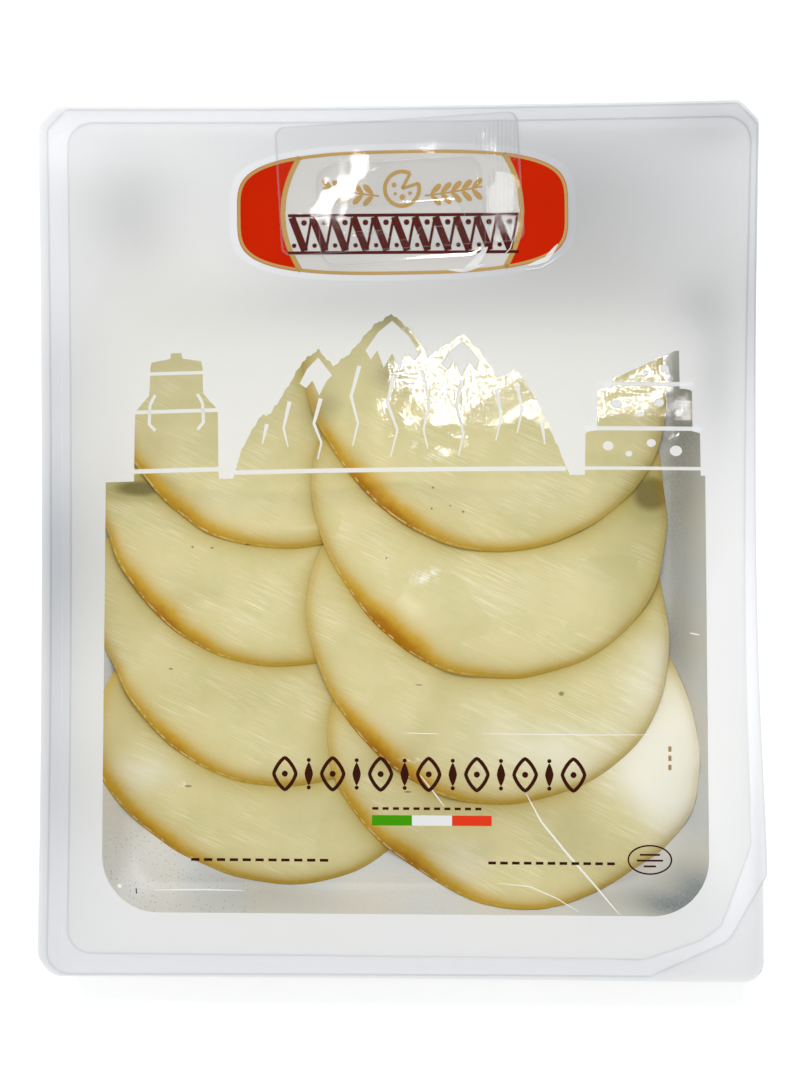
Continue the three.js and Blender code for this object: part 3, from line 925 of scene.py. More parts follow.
def skyline(x):
    # the highest of the churn, the hills and the stacked wheels over each place
    churn = np.abs(x - windowPrint["churn"])
    body = np.interp(churn, [0, 11, 11.2], [18.5, 18.5, 0])
    shoulder = np.interp(churn, [0, 5.4, 10.8, 11], [24.5, 24.5, 18.5, 0])
    neck = np.interp(churn, [0, 5.4, 5.6], [28, 28, 0])
    cap = np.interp(churn, [0, 1.4, 1.6, 6.6, 7.0, 7.2], [33.5, 33.5, 32, 31.2, 29.0, 0])
    rough = 0.22 * np.sin(x * 2.1) + 0.16 * np.sin(x * 4.3 + 1)
    hills = np.interp(x, *np.transpose(windowPrint["hills"]))
    hills = np.where(hills > 0, np.maximum(hills + rough * np.clip(hills / 6, 0, 1), 0), 0)
    wheels = x - windowPrint["wheels"]
    lower = wheelTop(wheels, 15, 10.5)
    middle = wheelTop(wheels - 0.5, 12.4, 21.5)
    wedge = np.interp(wheels, [-8.2, -8, 8.5, 9.5, 9.7], [0, 25, 32.5, 32.5, 0])
    return windowTop(x) + np.maximum.reduce([body, shoulder, neck, cap, hills, lower, middle, wedge])


def inkMaterial(name, colour, rough=0.75, metal=0.0):
    # one colour, a little darker in soft clouds
    material, root, place = startMaterial(name)
    body = place.noise(0.05, 1.0, 0.5).blend(colour, tuple(c * 0.9 for c in colour))
    return finishMaterial(material, principled(root, body, rough=rough, metal=metal, specular=0.02))


def whiteInkMaterial():
    # matt white that lets some light through
    material, root, _ = startMaterial("whiteInk")
    colour = root.attribute("shade").blend((0.97, 0.972, 0.98), (0.44, 0.45, 0.47))
    front = principled(root, colour, rough=0.5, specular=0.15)
    through = root.surface("Translucent", (0.97, 0.98, 1.0))
    return finishMaterial(material, front.covered(windowPrint["through"], through))


def addWhite(name, shape, more=0.0):
    # white ink, with how dark it is at each point
    shade = windowPrint["ground"] + more + bells(shape[0][:, 0], shape[0][:, 1], windowPrint["tones"])
    return addPiece(name, shape, whiteInk, attributes={"shade": shade}, under=underside)


def buildWhitePrint():
    # a ring from a window out to the flange's edge, and above the window a plate from the skyline up
    counts = (240, 70, 160, 70)
    opening = windowPrint["window"].copy()
    opening[3] = windowPrint["patchTop"]
    window = loopSections(opening, counts, bowed=False)
    down = np.clip((windowTop(0) - window[:, 1]) / (windowTop(0) - opening[2]), 0, 1)
    window[:, 0] += np.sign(window[:, 0]) * windowPrint["spread"] * down
    mouth = loopSections(pack["mouth"], counts)
    flange = loopSections(pack["flange"], counts)
    inner = [window + (mouth - window) * t for t in np.concatenate([[0], np.linspace(0.015, 1, 34)])]
    shares = (0.03, 0.08, 0.16, 0.3, 0.5, 0.58, 0.64, 0.7, 0.8, 0.9, 0.99)
    outer = [mouth + (flange - mouth) * t for t in shares]
    ring = onFilm(np.array(inner + outer), windowPrint["lift"], windowPrint["thickness"], ring=True)
    overlap = 0.05
    x = np.linspace(opening[0] - overlap, opening[1] + overlap, 901)
    edge = skyline(x)
    top = np.full_like(x, opening[3] + overlap)
    plan = np.array([np.stack([x, edge + (top - edge) * t], 1) for t in np.linspace(0, 1, 26)])
    return joinShapes([ring, plate(plan, windowPrint["lift"] + 0.002)])


def onFilm(plans, lift, thickness=0.03, ring=False):
    # rows of places laid on the film
    base = filmTop(plans[..., 0], plans[..., 1]) + lift
    return slab(plans, base, base + thickness, ring)


def plate(plan, lift, thickness=0.03):
    # a patch of rows and columns of places, shut all round
    height = filmTop(plan[..., 0], plan[..., 1]) + lift
    upper = np.concatenate([plan, height[..., None] + thickness], -1).reshape(-1, 3)
    lower = np.concatenate([plan, height[..., None]], -1).reshape(-1, 3)
    index = gridOf(plan)
    quads = np.stack([index[:-1, :-1], index[1:, :-1], index[1:, 1:], index[:-1, 1:]], -1).reshape(-1, 4)
    rim = np.concatenate([index[:, 0], index[-1, 1:], index[-2::-1, -1], index[0, -2:0:-1]])
    after = np.roll(rim, -1)
    total = index.size
    walls = np.stack([rim, rim + total, after + total, after], -1)
    faces = np.concatenate([quads, quads[:, ::-1] + total, walls])
    first, second = plan[-1, 0] - plan[0, 0], plan[-1, -1] - plan[-1, 0]
    if first[0] * second[1] - first[1] * second[0] < 0:
        faces = faces[:, ::-1]
    return np.concatenate([upper, lower]), faces.tolist()


whiteInk = whiteInkMaterial()
whitePrint = addWhite("lid_print", buildWhitePrint())
whitePrint.visible_shadow = False   # it is thin enough to let the light onto the cheese


# where the film is sealed to the tray the white is a little darker: a band right round, which cuts
# across the free corner by straight lines
seal = {
    "inner": np.array([-87.0, 92.8, -108.8, 110.6, 27, 6.6, 6.6, 6.6, 0, 0, 0, 0]),
    "outer": np.array([-92.4, 94.4, -114.3, 114.0, 22, 5.5, 5.3, 5.5, 0.1, 0.9, 0.9, 0.2]),
    "cutInner": [(64.0, -109.3), (79.1, -104.0), (84.0, -100.2), (92.0, -79.2)],
    "cutOuter": [(65.8, -113.6), (86.1, -104.0), (90.5, -96.0), (95.9, -86.8)],
    "lift": 0.085, "thickness": 0.015, "darker": 0.12, "lineWidth": 0.45, "lineDarker": 0.22,
}


def buildSealBand():
    # a ring between two loops, each with its own cut across the free corner
    counts = (150, 170, 150, 170)
    inner = loopSections(seal["inner"], counts, cut=seal["cutInner"])
    outer = loopSections(seal["outer"], counts, cut=seal["cutOuter"])
    plans = np.array([inner + (outer - inner) * t for t in np.linspace(0, 1, 7)])
    return onFilm(plans, seal["lift"], seal["thickness"], ring=True), inner, outer


shape, sealInner, sealOuter = buildSealBand()
sealBand = addWhite("seal_band", shape, seal["darker"])
sealBand.visible_shadow = False
print("white print made")


# Flat print: strokes along a path, and filled outlines

def stroke(path, width, lift, thickness=0.03, closed=False):
    # a four-sided bar of that width carried along a path, on the film
    path = np.asarray(path, float)
    ahead = np.roll(path, -1, axis=0) - np.roll(path, 1, axis=0)
    if not closed:
        ahead[0], ahead[-1] = path[1] - path[0], path[-1] - path[-2]
    ahead /= np.maximum(np.hypot(*ahead.T), 1e-9)[:, None]
    aside = np.stack([-ahead[:, 1], ahead[:, 0]], 1) * np.broadcast_to(width, len(path))[:, None] / 2
    corners = []
    for side, up in ((1, 0), (1, thickness), (-1, thickness), (-1, 0)):
        plan = path + side * aside
        corners.append(np.column_stack([plan, filmTop(plan[:, 0], plan[:, 1]) + lift + up]))
    rows = np.stack(corners, 1)
    if closed:
        return joinEnds(rows)
    points, faces = closeRows(rows, False, False)
    last = 4 * (len(path) - 1)
    return points, faces + [[0, 1, 2, 3], [last + 3, last + 2, last + 1, last]]


def prism(outline, lift, thickness=0.03):
    # a flat shape of any outline, with one face on top and one below
    outline = np.asarray(outline, float)
    count = len(outline)
    x, y = outline.T
    height = filmTop(x, y) + lift
    points = np.concatenate([np.column_stack([outline, height + up]) for up in (thickness, 0)])
    anticlockwise = np.sum(x * np.roll(y, -1) - y * np.roll(x, -1)) > 0
    ring = list(range(count))[::1 if anticlockwise else -1]
    walls = [[ring[k - 1], ring[k - 1] + count, ring[k] + count, ring[k]] for k in range(count)]
    return points, [ring, [k + count for k in ring[::-1]]] + walls


def joinEnds(rows):
    # a closed bar: the last row joins the first
    index = gridOf(rows)
    ahead, after = np.roll(index, -1, axis=0), np.roll(index, -1, axis=1)
    both = np.roll(ahead, -1, axis=1)
    return rows.reshape(-1, 3), np.stack([index, ahead, both, after], -1).reshape(-1, 4).tolist()


def filled(outline, lift, rings=3):
    # a flat shape seen from its middle: its outline drawn smaller and smaller
    middle = outline.mean(0)
    shares = np.linspace(0, 1, rings + 1)[1:]
    return onFilm(np.array([middle + (outline - middle) * share for share in shares]), lift)


def roundTurns(count):
    # angles all the way round
    return np.linspace(0, 2 * math.pi, count, endpoint=False)


def ellipse(x, y, halfWidth, halfHeight, count):
    # a circle drawn out by its two half axes
    return np.array([x, y]) + onCircle(roundTurns(count)) * [halfWidth, halfHeight]


def roundedPower(values, power):
    # a power that keeps the sign, which makes an oval squarer below 1 and hollow above it
    return np.sign(values) * np.abs(values) ** power


def turnedPoints(points, middle, degrees):
    # places turned about a middle
    cosine, sine = math.cos(math.radians(degrees)), math.sin(math.radians(degrees))
    x, y = (points - middle).T
    return np.stack([x * cosine - y * sine, x * sine + y * cosine], 1) + middle


def overWindow(points):
    # heights counted from the window's top edge
    points = np.asarray(points, float)
    return np.stack([points[:, 0], points[:, 1] + windowTop(points[:, 0])], 1)


# white lines and patches inside the cut-outs
motifs = {
    "snow": [   # its outlines on the hills
        [(-1, 40.6), (-4.6, 37.8), (-8.0, 33.0), (-6.6, 30.6), (-4.9, 33.0), (-3.2, 28.4),
         (-1.0, 32.2), (1.0, 27.2), (2.6, 32.2), (4.8, 30.0), (6.2, 31.6), (3.4, 36.6)],
        [(-20.5, 31.4), (-23.4, 28.4), (-25.4, 24.6), (-23.6, 23.4),
         (-22.0, 25.4), (-20.2, 21.4), (-18.2, 25.2), (-16.8, 26.6)],
        [(17.5, 35.2), (14.6, 33.0), (11.8, 29.4), (13.4, 27.2), (15.2, 29.8),
         (17.2, 25.6), (19.2, 29.4), (21.2, 27.2), (22.0, 30.2)],
    ],
    "ridges": [   # places, from the widest end
        [(-0.6, 26.4), (-2.2, 19), (0.4, 12), (-1.4, 5)],
        [(-19.8, 20.6), (-21.6, 14), (-19.6, 9), (-20.6, 4.6)],
        [(17.4, 25), (15.8, 18), (17.8, 11), (16.4, 5)],
        [(-9.6, 29), (-11.8, 21), (-10, 14), (-11.4, 8)],
        [(6.8, 27.6), (8.8, 19), (7.2, 12), (8.4, 7)],
        [(26.4, 22.6), (27.6, 15), (26.2, 9)], [(31.6, 24.2), (33.0, 17), (31.8, 11)],
        [(-34.0, 14.2), (-35.2, 9)], [(-28, 20), (-29.6, 13), (-28.4, 8)], [(38.2, 14), (39, 8)],
    ],
    # from x to x, height over the window, width; x counts from the middle of the churn or the wheels
    "hillBars": [(-42.5, 44.5, 1.6, 1.2)],
    "churnBars": [(-11.2, 11.2, 18.2, 1.0), (-11.2, 11.2, 2.6, 1.2), (-7.4, 7.4, 28.2, 0.9)],
    "wheelBars": [(-15.2, 15.2, 12.2, 1.1), (-12.2, 13.2, 23.8, 1.1), (-15.2, 15.2, 1.8, 0.9)],
    "handle": [(5.6, 22.6), (7.0, 20.0), (7.2, 15.0), (5.6, 13.2)],
    "holes": [   # x, height, radius
        (-9, 7.6, 1.4), (-3.6, 5.6, 0.9), (2.2, 8.4, 1.2), (8.6, 6.4, 1.6), (-6.8, 18.6, 1.5),
        (-0.8, 16.0, 0.9), (4.2, 19.0, 1.3), (9.4, 16.2, 1.0), (5.5, 27.9, 1.2), (0.8, 26.6, 0.8),
    ],
}


def buildPrintLines():
    # snow and ridges on the hills, bars across all three motifs, the holes in the wheels, and the
    # churn's two handles
    lift, churnX, wheelX = windowPrint["lift"], windowPrint["churn"], windowPrint["wheels"]
    shapes = [prism(overWindow(outline), lift) for outline in motifs["snow"]]
    for line in motifs["ridges"]:
        path = overWindow(alongPath(np.array(line, float), 40))
        shapes.append(stroke(path, np.linspace(1.1, 0.35, 40), lift))
    for middle, bars in ((0, "hillBars"), (churnX, "churnBars"), (wheelX, "wheelBars")):
        for x1, x2, height, width in motifs[bars]:
            steps = np.linspace(middle + x1, middle + x2, 60)
            shapes.append(stroke(overWindow(np.stack([steps, np.full(60, height)], 1)), width, lift))
    for x, height, radius in motifs["holes"]:
        shapes.append(filled(overWindow(ellipse(wheelX + x, height, radius, radius * 0.85, 20)), lift))
    for side in (-1, 1):
        handle = alongPath(np.array(motifs["handle"]) * [side, 1] + [churnX, 0], 24)
        shapes.append(stroke(overWindow(handle), 0.8, lift))
    return joinShapes(shapes)


addWhite("print_lines", buildPrintLines())
above = seal["lift"] + seal["thickness"] + 0.004
lines = [stroke(loop, seal["lineWidth"], above, 0.01, closed=True) for loop in (sealInner, sealOuter)]
addWhite("seal_lines", joinShapes(lines), seal["lineDarker"])


def threads(lines, count, thinnest, power, lift, thickness):
    # bright threads, each widest at its middle by a power of a sine
    shapes = []
    for width, line in lines:
        along = np.linspace(0, 1, count)
        widths = width * (thinnest + (1 - thinnest) * np.sin(math.pi * along) ** power)
        shapes.append(stroke(alongPath(np.array(line, float), count), widths, lift, thickness))
    return joinShapes(shapes)


# the creases' white threads are a painted highlight
creases = threads(film["creases"], 40, 0.15, 0.5, 0.01, 0.04)
addPiece("film_creases", creases, highlightMaterial("creaseHighlight", film["creaseHighlightShare"]))

# the rule and the small marks under the window's middle
brownInk = inkMaterial("brownInk", linear(58, 22, 12))
marks = {
    "lift": 0.06,
    # a row of hollow lozenges with a dot and, between them, spindles with a dot above and below
    "middle": (8.6, -61.2), "width": 82, "count": 13,
    "lozenge": (2.9, 4.2), "lozengeLine": 0.95, "dot": 0.8,
    "spindle": (1.1, 3.024), "smallDot": 0.55, "smallDotUp": 3.6, "hollow": 1.5,
    # broken lines: from x to x, y, length and gap of the dashes, width
    "dashes": [
        (-6.2, 24.6, -70.2, 1.6, 1.1, 0.7), (-54, -16.6, -83.9, 2.2, 1.2, 0.75),
        (24.2, 59.5, -84.3, 2.0, 1.1, 0.75),
    ],
    "stamp": (66.3, -83.2, 5.6, 3.7), "stampRim": 0.42,                # x, y, half width, half height
    "stampLines": [(-81.9, 2.6), (-83.4, 3.4), (-84.9, 1.6)],          # y and half length
    "stampLine": 0.5,
    "tick": [(-68.6, -91.6), (-68.5, -93.0)], "tickLine": 0.3,
    "sideX": 71.5, "sideY": (-53.6, -56.0, -58.4), "sideDash": 1.4, "sideLine": 0.8,
    # the stripe of three colours
    "stripeY": -73.3, "stripeWidth": 2.7, "stripeEnds": (-6.3, 4.2, 14.7, 25.1),
    "stripes": {
        "stripe_green": linear(64, 150, 6), "stripe_white": linear(226, 226, 224),
        "stripe_red": linear(222, 58, 28),
    },
}


def superellipse(x, y, halfWidth, halfHeight, powerX, powerY, count):
    # an oval whose cosine and sine are taken to a power
    across, up = onCircle(roundTurns(count)).T
    return np.stack([
        x + halfWidth * roundedPower(across, powerX), y + halfHeight * roundedPower(up, powerY)], 1)


def buildMarks():
    # a row of lozenges and spindles, broken lines, and an oval stamp
    lift, hollow, (middleX, y) = marks["lift"], marks["hollow"], marks["middle"]
    shapes = []
    for k in range(marks["count"]):
        x = middleX + (k - marks["count"] // 2) * marks["width"] / marks["count"]
        if k % 2 == 0:
            outline = superellipse(x, y, *marks["lozenge"], hollow, hollow, 24)
            shapes.append(stroke(outline, marks["lozengeLine"], lift, closed=True))
            shapes.append(filled(ellipse(x, y, marks["dot"], marks["dot"], 16), lift))
        else:
            shapes.append(filled(superellipse(x, y, *marks["spindle"], hollow, hollow, 24), lift, 2))
            for up in (marks["smallDotUp"], -marks["smallDotUp"]):
                shapes.append(filled(ellipse(x, y + up, marks["smallDot"], marks["smallDot"], 12), lift, 1))
    for x, end, y, dash, gap, width in marks["dashes"]:
        while x + dash < end:
            shapes.append(stroke([(x, y), (x + dash, y)], width, lift))
            x += dash + gap
    shapes.append(stroke(ellipse(*marks["stamp"], 48), marks["stampRim"], lift, closed=True))
    stampX = marks["stamp"][0]
    for y, half in marks["stampLines"]:
        shapes.append(stroke([(stampX - half, y), (stampX + half, y)], marks["stampLine"], lift))
    shapes.append(stroke(marks["tick"], marks["tickLine"], lift))
    return joinShapes(shapes)


addPiece("print_marks", buildMarks(), brownInk)
sideMark = joinShapes([
    stroke([(marks["sideX"], y), (marks["sideX"], y - marks["sideDash"])], marks["sideLine"], marks["lift"])
    for y in marks["sideY"]])
addPiece("print_side_mark", sideMark, inkMaterial("paleBrownInk", linear(160, 132, 84)))
for k, (name, colour) in enumerate(marks["stripes"].items()):
    steps = np.linspace(marks["stripeEnds"][k], marks["stripeEnds"][k + 1], 8)
    path = np.stack([steps, np.full(8, marks["stripeY"])], 1)
    bar = stroke(path, marks["stripeWidth"], marks["lift"])
    addPiece(name, bar, inkMaterial(name + "Ink", colour))
print("small print made")


# The badge: a plain long plaque with red ends, gold lines and a sprig of leaves

badge = {
    "middle": np.array([1.6, 86.2]), "halfWidth": 43.5, "halfHeight": 16.4, "turn": 0.6,
    "powers": (0.72, 0.5),                       # how square its ends and its long sides are
    "marginX": 2.0, "marginY": 1.6,
    "capWidth": 11.5, "capBow": 5.5,
    # heights over the film
    "marginLift": 0.08, "groundLift": 0.10, "endLift": 0.14, "lift": 0.18, "wrinkleLift": 0.24,
    "emblemUp": 6.2, "wheelRadius": 4.5, "cut": (62, 18),            # degrees: the wheel's cut-out
    "holes": [(-2.1, 1.0, 0.65), (0.1, -2.2, 0.75), (-1.8, -1.3, 0.45), (2.1, -1.2, 0.5)],
    "leaves": 5, "leafStart": (7.5, -1.6), "leafStep": (2.7, 0.35), "leafHalf": (1.9, 0.72), "leafTurn": 46,
    "stem": [(6.0, -1.9), (13, -1.0), (21, 0.4)],
    "bandDown": 5.6, "bandCount": 11, "bandStep": 5.4,
    # in each step of the band: bars from, to, width and how much higher, and dots with x, y, radius
    "bandBars": [((-2.0, 4.4), (1.4, -4.4), 1.9, 0), ((1.6, -4.3), (3.2, 4.3), 0.7, 0.02)],
    "bandDots": [(1.2, 3.0, 0.75), (-1.4, -3.0, 0.6)],
    "bandEnds": (-30, 30.6), "bandSides": (-4.9, 4.9), "bandSideWidth": 0.8,
}


def onBadge(points):
    # places counted from the badge's middle, with its slight turn
    return turnedPoints(points + badge["middle"], badge["middle"], badge["turn"])


def plaque(grownX, grownY):
    # a superellipse, between an oval and a rectangle
    return onBadge(superellipse(
        0, 0, badge["halfWidth"] + grownX, badge["halfHeight"] + grownY, *badge["powers"], 120))


def badgeSide(sign):
    # a crescent between the plaque's end and a bow inside it, a parabola
    across, up = onCircle(np.linspace(-0.5 * math.pi, 0.5 * math.pi, 61)[3:-3]).T
    outerX = badge["halfWidth"] * across ** badge["powers"][0]
    height = roundedPower(up, badge["powers"][1])
    innerX = badge["halfWidth"] - badge["capWidth"] - badge["capBow"] * height ** 2
    keep = outerX > innerX + 0.02
    outer, inner = (np.stack([x, badge["halfHeight"] * height], 1)[keep] for x in (outerX, innerX))
    plan = np.array([inner + (outer - inner) * share for share in np.linspace(0, 1, 9)])
    return onBadge((plan * [sign, 1]).reshape(-1, 2)).reshape(plan.shape)


def goldLines():
    # the outline and the two bows, a sprig to each side, and a wheel of cheese with a wedge cut out
    lift = badge["lift"]
    lines = [stroke(plaque(-0.5, -0.5), 0.8, lift, closed=True)]
    for sign in (1, -1):
        lines.append(stroke(badgeSide(sign)[0] - [sign * 0.6, 0], 1.3, lift))
    emblem = badge["middle"] + [0, badge["emblemUp"]]
    length, breadth = badge["leafHalf"]
    along, aside = onCircle(roundTurns(20)).T
    leaf = np.stack([length * along + length, breadth * aside * (1 + 0.3 * along)], 1)
    for side in (-1, 1):
        for k in range(badge["leaves"]):
            place = (np.array(badge["leafStart"]) + np.array(badge["leafStep"]) * k) * [side, 1] + emblem
            for up in (-1, 1):
                outline = turnedPoints(leaf, np.zeros(2), up * badge["leafTurn"]) * [side, 1]
                points, faces = filled(outline[::side], lift, 2)
                lines.append((points + [*place, 0], faces))
        lines.append(stroke(alongPath(emblem + np.array(badge["stem"]) * [side, 1], 16), 0.45, lift))
    first, last = badge["cut"]
    rim = np.linspace(math.radians(first), math.radians(last + 360), 60)
    lines.append(stroke(emblem + badge["wheelRadius"] * onCircle(rim), 1.0, lift))
    for angle in badge["cut"]:
        tip = emblem + (badge["wheelRadius"] + 0.1) * onCircle(math.radians(angle) * np.ones(1))[0]
        lines.append(stroke(alongPath(np.array([emblem, tip]), 8), 0.8, lift))
    for x, y, radius in badge["holes"]:
        lines.append(filled(ellipse(emblem[0] + x, emblem[1] + y, radius, radius, 20), lift, 2))
    return joinShapes(lines)


def plaitedBand():
    # slanting bars, thick one way and thin the other, with dots between, and a line on each side
    lift = badge["lift"]
    shapes = []
    middle, y = badge["middle"] - [0, badge["bandDown"]]
    for k in range(badge["bandCount"]):
        x = middle + (k - badge["bandCount"] // 2) * badge["bandStep"]
        for first, last, width, up in badge["bandBars"]:
            shapes.append(stroke(np.array([first, last]) + [x, y], width, lift + up))
        for right, up, radius in badge["bandDots"]:
            shapes.append(filled(ellipse(x + right, y + up, radius, radius, 16), lift, 1))
    steps = np.linspace(*np.add(middle, badge["bandEnds"]), 20)
    for up in badge["bandSides"]:
        path = np.stack([steps, np.full(20, y + up)], 1)
        shapes.append(stroke(path, badge["bandSideWidth"], lift + 0.01))
    return joinShapes(shapes)


greyInk = inkMaterial("badgeGrey", linear(203, 200, 195))
redInk = inkMaterial("badgeRed", linear(193, 32, 0))
goldInk = inkMaterial("badgeGold", linear(172, 140, 82), 0.6, 0.15)
maroonInk = inkMaterial("badgeMaroon", linear(80, 27, 20))
addWhite("badge_margin", filled(plaque(badge["marginX"], badge["marginY"]), badge["marginLift"], 16), -0.08)
addPiece("badge_ground", filled(plaque(0, 0), badge["groundLift"], 16), greyInk)
ends = joinShapes([plate(badgeSide(sign), badge["endLift"]) for sign in (1, -1)])
addPiece("badge_ends", ends, redInk)
addPiece("badge_gold", goldLines(), goldInk)
addPiece("badge_band", plaitedBand(), maroonInk)

# wrinkles in the film beside the badge, which shine white
wrinkles = [   # width at the middle, places along it
    (1.9, [(17.4, 70.4), (21.0, 73.0), (24.0, 77.0)]), (0.9, [(13.6, 71.0), (18.0, 70.8), (23.4, 72.4)]),
    (1.3, [(34.6, 72.0), (39.4, 73.6), (42.4, 77.6)]), (0.35, [(33.0, 70.8), (38.0, 71.4), (43.0, 74.4)]),
    (0.3, [(28.0, 74.4), (30.0, 76.6), (31.0, 79.8)]),
]
shape = threads(wrinkles, 24, 0.12, 0.7, badge["wrinkleLift"], 0.02)
addPiece("film_wrinkles", shape, highlightMaterial("brightWrinkle", 0.5))
print("badge made")


# The clear hang tab

tab = {
    "middle": np.array([0.9, 93.6]), "turn": 3.4, "halfWidth": 32, "halfHeight": 17, "corner": 2.5,
    "flapHalfWidth": 21.8, "flapBottom": -20.4, "flapTop": 6.5, "flapCorner": 4.5,
    "slotY": -8.6, "slotHalf": 16.1, "slotRadius": 3.2, "bumpRadius": 5.2, "bumpBelow": 3.0,
    "baseLow": 20.75, "baseThick": 0.16, "flapLow": 21.02, "flapThick": 0.34,
    "ribs": [(28.0, 104.5, 7.5, 6.0), (27.5, 88.0, 5.0, 11.0)],   # x, y, half width, half height
    "ribStep": 1.1, "ribShade": 0.16, "edgeShade": 0.26, "ripple": 0.04, "mirror": 0.009,
    "flapBend": 0.05, "baseBend": 0.03,
}


def roundedBox(right, bottom, top, corner, count):
    # points from the right-hand side's middle round, anticlockwise
    arcs = []
    for signX, signY, start in ((1, 1, 0), (-1, 1, 90), (-1, -1, 180), (1, -1, 270)):
        centre = np.array([signX * (right - corner), top - corner if signY > 0 else bottom + corner])
        arcs.append(centre + corner * onCircle(np.radians(np.linspace(start, start + 90, 9))))
    middle = [[right, (top + bottom) / 2]]
    return alongPath(np.concatenate([middle, *arcs, middle]), count + 1)[:-1]


def slotLoop(count):
    # a bar with round ends, and a round bump below its middle: the bump's arc ends where it meets
    # the bar's lower side
    y, radius, bump = tab["slotY"], tab["slotRadius"], tab["bumpRadius"]
    end = np.array([tab["slotHalf"] - radius, 0])
    bumpY = y - radius + bump - tab["bumpBelow"]
    opening = math.degrees(math.acos((bumpY - (y - radius)) / bump))
    path = np.concatenate([
        middle + size * onCircle(np.radians(np.linspace(first, last, points)))
        for middle, size, first, last, points in (
            ([0, y] + end, radius, 0, 90, 10), ([0, y] - end, radius, 90, 270, 20),
            (np.array([0, bumpY]), bump, -90 - opening, -90 + opening, 16),
            ([0, y] + end, radius, -90, 0, 10))])
    return alongPath(path, count + 1)[:-1]


def placeTab(plans):
    # places counted from the tab's middle, with its turn
    points = plans.reshape(-1, 2) + tab["middle"]
    return turnedPoints(points, tab["middle"], tab["turn"]).reshape(plans.shape)


def tabBend(plans, amount):
    # two slow waves, one across the tab and one slanting
    x, y = plans[..., 0], plans[..., 1]
    return amount * np.sin((x - 4) / 17.0) + 0.5 * amount * np.sin((y - 90) / 9.0 + x / 30.0)


def buildTabFlap():
    # rings from the slot out to the flap's edge, with both edges rounded over
    count = 220
    outer = roundedBox(tab["flapHalfWidth"], tab["flapBottom"], tab["flapTop"], tab["flapCorner"], count)
    inner = slotLoop(count)
    shares = np.array([0, 0.012, 0.03, 0.2, 0.35, 0.5, 0.65, 0.8, 0.965, 0.986, 1.0])
    soft = np.array([0.10, 0.02, 0, 0, 0, 0, 0, 0, 0, 0.02, 0.10])
    plans = placeTab(np.array([inner + (outer - inner) * share for share in shares]))
    low = tab["flapLow"] + tabBend(plans, tab["flapBend"])
    edge = np.where((shares < 0.03) | (shares > 0.97), 1.0, 0.0)[:, None] * np.ones(count)
    edge = np.concatenate([edge, edge[::-1], edge[:1]]).ravel()
    return slab(plans, low + soft[:, None], low + tab["flapThick"] - soft[:, None], True), {"edge": edge}


def buildTabBase():
    # the outline drawn smaller and smaller
    count = 200
    outer = roundedBox(tab["halfWidth"], -tab["halfHeight"], tab["halfHeight"], tab["corner"], count)
    shares = np.concatenate([np.linspace(0.1, 0.978, 18), [0.989, 1.0]])
    plans = placeTab(np.array([outer * share for share in shares]))
    low = tab["baseLow"] + tabBend(plans, tab["baseBend"])
    edge = np.where(shares > 0.98, 0.8, 0.0)[:, None] * np.ones(count)
    edge = np.concatenate([edge.ravel(), edge[::-1].ravel(), [0, 0]])
    return slab(plans, low, low + tab["baseThick"]), {"edge": edge}


def tabMaterial():
    # clear plastic, with ribs pressed into two strips; painted shade greys its edges and the ribs
    material, root, place = startMaterial("clearTab")
    across = place.node("ShaderNodeSeparateXYZ", None, {"Vector": place}, output="X")
    ribs = (across * (2 * math.pi / tab["ribStep"])).math("SINE")
    ribbed = highest([place.away(*patch).rise(1.0, 0.85) for patch in tab["ribs"]])
    normal = root.bump(place.noise(0.09, 2.0, 0.5) * tab["ripple"])
    shadeVeil = root.attribute("edge") * tab["edgeShade"] + ribs.rise(0.2, 0.9) * ribbed * tab["ribShade"]
    return finishMaterial(material, clearShader(root, normal, 0.03, tab["mirror"], 0.2, shadeVeil))


tabFinish = tabMaterial()
shape, attributes = buildTabBase()
addPiece("tab_base", shape, tabFinish, ["hang_tab"], attributes=attributes, under=underside)
shape, attributes = buildTabFlap()
addPiece("tab_flap", shape, tabFinish, attributes=attributes, under=underside)
print("hang tab made")


# Floor, light and camera

studio = {
    "floorSize": 4.0, "floorColour": (0.97, 0.97, 0.97), "floorGlow": 0.3,
    "world": 0.74, "worldColour": (0.97, 0.985, 1.0),
    "skyPlace": (-0.12, 0.92, 1.30), "skySize": (0.9, 0.7), "skyWatts": 12.5,
    # small soft lights that are seen again in the film and the tab: the middle of what is seen,
    # x and y, its width and height, its turn, and how bright it is
    "reflectedHeight": 1000.0,
    "reflected": [
        (34.5, 44.5, 66, 26, 0, 140), (-14.9, 92.2, 21, 4.4, -54.5, 56), (28.0, 88.0, 6.5, 18, 0, 22),
        (6.2, 103.4, 5, 1.3, -12, 80), (24.4, 104.8, 2.2, 4, 20, 80),
    ],
}


def floorMaterial():
    # pale and matt, with a faint glow
    material, root, _ = startMaterial("paleFloor")
    shader = principled(root, studio["floorColour"], rough=0.8, specular=0.1, glow=studio["floorGlow"])
    return finishMaterial(material, shader)


half = studio["floorSize"] / 2
floorMesh = bpy.data.meshes.new("floor")
floorCorners = [(-half, -half, 0), (half, -half, 0), (half, half, 0), (-half, half, 0)]
floorMesh.from_pydata(floorCorners, [], [(0, 1, 2, 3)])
floorMesh.materials.append(floorMaterial())
floor = bpy.data.objects.new("floor", floorMesh)
bpy.context.scene.collection.objects.link(floor)

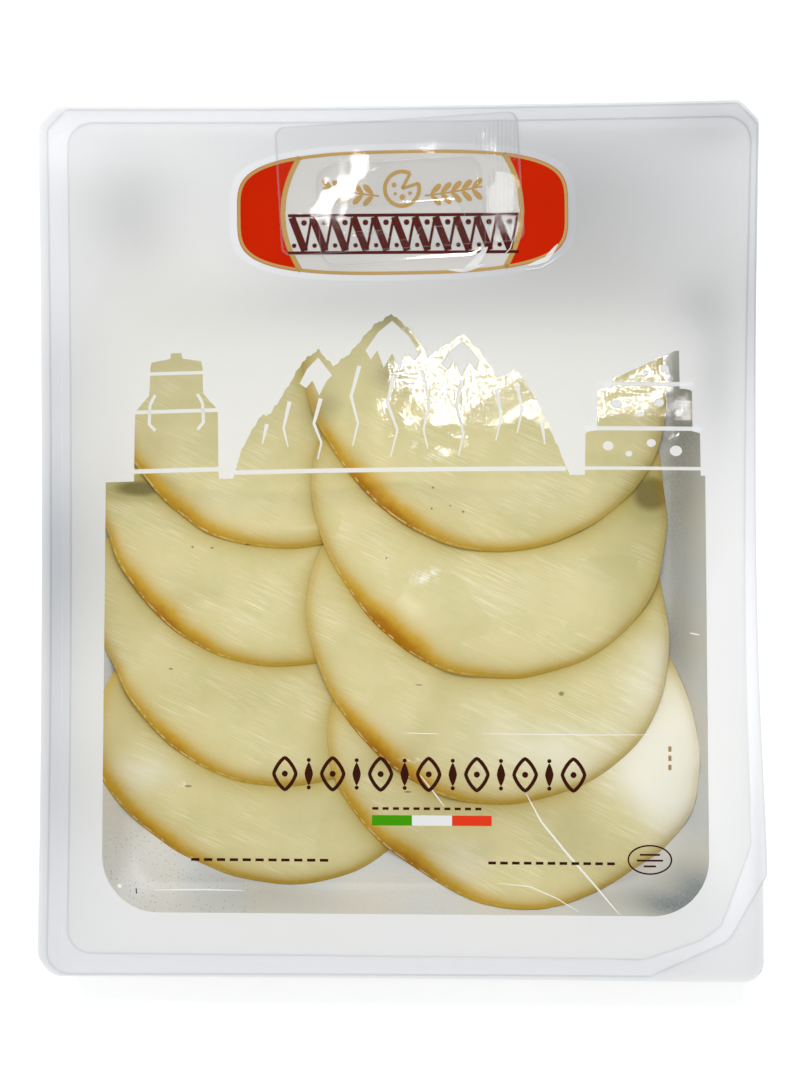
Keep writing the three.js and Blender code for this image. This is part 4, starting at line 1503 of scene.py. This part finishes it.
# The camera looks straight down on the pack from a little to its right. The picture is 800 by
# 1067 pixels, and the lens is given by its focal length in pixels.
shot = {
    "distance": 0.600, "right": 2.928, "up": -0.227,   # in metres and degrees
    "focal": 2289.3, "shift": (-4.18, 7.29), "pictureHeight": 1067,
}
aimPoint = Vector((0, 0, filmHigh[2] * mm))
offX, offY = math.sin(math.radians(shot["right"])), math.sin(math.radians(shot["up"]))
direction = Vector((offX, offY, math.sqrt(1 - offX ** 2 - offY ** 2)))
cameraData = bpy.data.cameras.new("camera")
cameraData.sensor_width = 36
cameraData.lens = shot["focal"] * cameraData.sensor_width / shot["pictureHeight"]
cameraData.shift_x = -shot["shift"][0] / shot["pictureHeight"]
cameraData.shift_y = shot["shift"][1] / shot["pictureHeight"]
cameraData.clip_start = 0.01
camera = bpy.data.objects.new("camera", cameraData)
camera.location = aimPoint + direction * shot["distance"]
sideways = Vector((0, 1, 0)).cross(direction).normalized()
upwards = direction.cross(sideways)
camera.rotation_euler = Matrix((sideways, upwards, direction)).transposed().to_euler()
bpy.context.scene.collection.objects.link(camera)
bpy.context.scene.camera = camera


def addLamp(name, place, aim, size, watts, turn=0.0, onlySeen=False):
    # a lit rectangle that faces its aim; onlySeen leaves it to the reflections
    light = bpy.data.lights.new(name, "AREA")
    light.shape, light.size, light.size_y, light.energy = "RECTANGLE", size[0], size[1], watts
    lamp = bpy.data.objects.new(name, light)
    lamp.location = place
    lamp.rotation_euler = (Vector(aim) - Vector(place)).to_track_quat("-Z", "Y").to_euler()
    lamp.rotation_euler.rotate_axis("Z", math.radians(turn))
    lamp.visible_diffuse = not onlySeen
    bpy.context.scene.collection.objects.link(lamp)


addLamp("sky", studio["skyPlace"], (0, 0, 0.02), studio["skySize"], studio["skyWatts"])
# each of these stands where a flat mirror on the pack would show it at the place given
eye = camera.location / mm
rise = studio["reflectedHeight"] / (eye.z - filmHigh[2])
lampHeight = filmHigh[2] + studio["reflectedHeight"]
for number, (x, y, width, height, turn, bright) in enumerate(studio["reflected"]):
    place = Vector((x + (x - eye.x) * rise, y + (y - eye.y) * rise, lampHeight)) * mm
    size = (width * (1 + rise) * mm, height * (1 + rise) * mm)
    below = (place.x, place.y + 1e-5, 0)
    watts = bright * math.pi * size[0] * size[1]
    addLamp("softbox" + str(number + 1), place, below, size, watts, -turn, True)

world = bpy.data.worlds.new("softRoom")
world.use_nodes = True
background = world.node_tree.nodes["Background"]
background.inputs["Color"].default_value = (*studio["worldColour"], 1)
background.inputs["Strength"].default_value = studio["world"]
bpy.context.scene.world = world
bpy.context.scene.view_settings.view_transform = "Standard"

print("done")
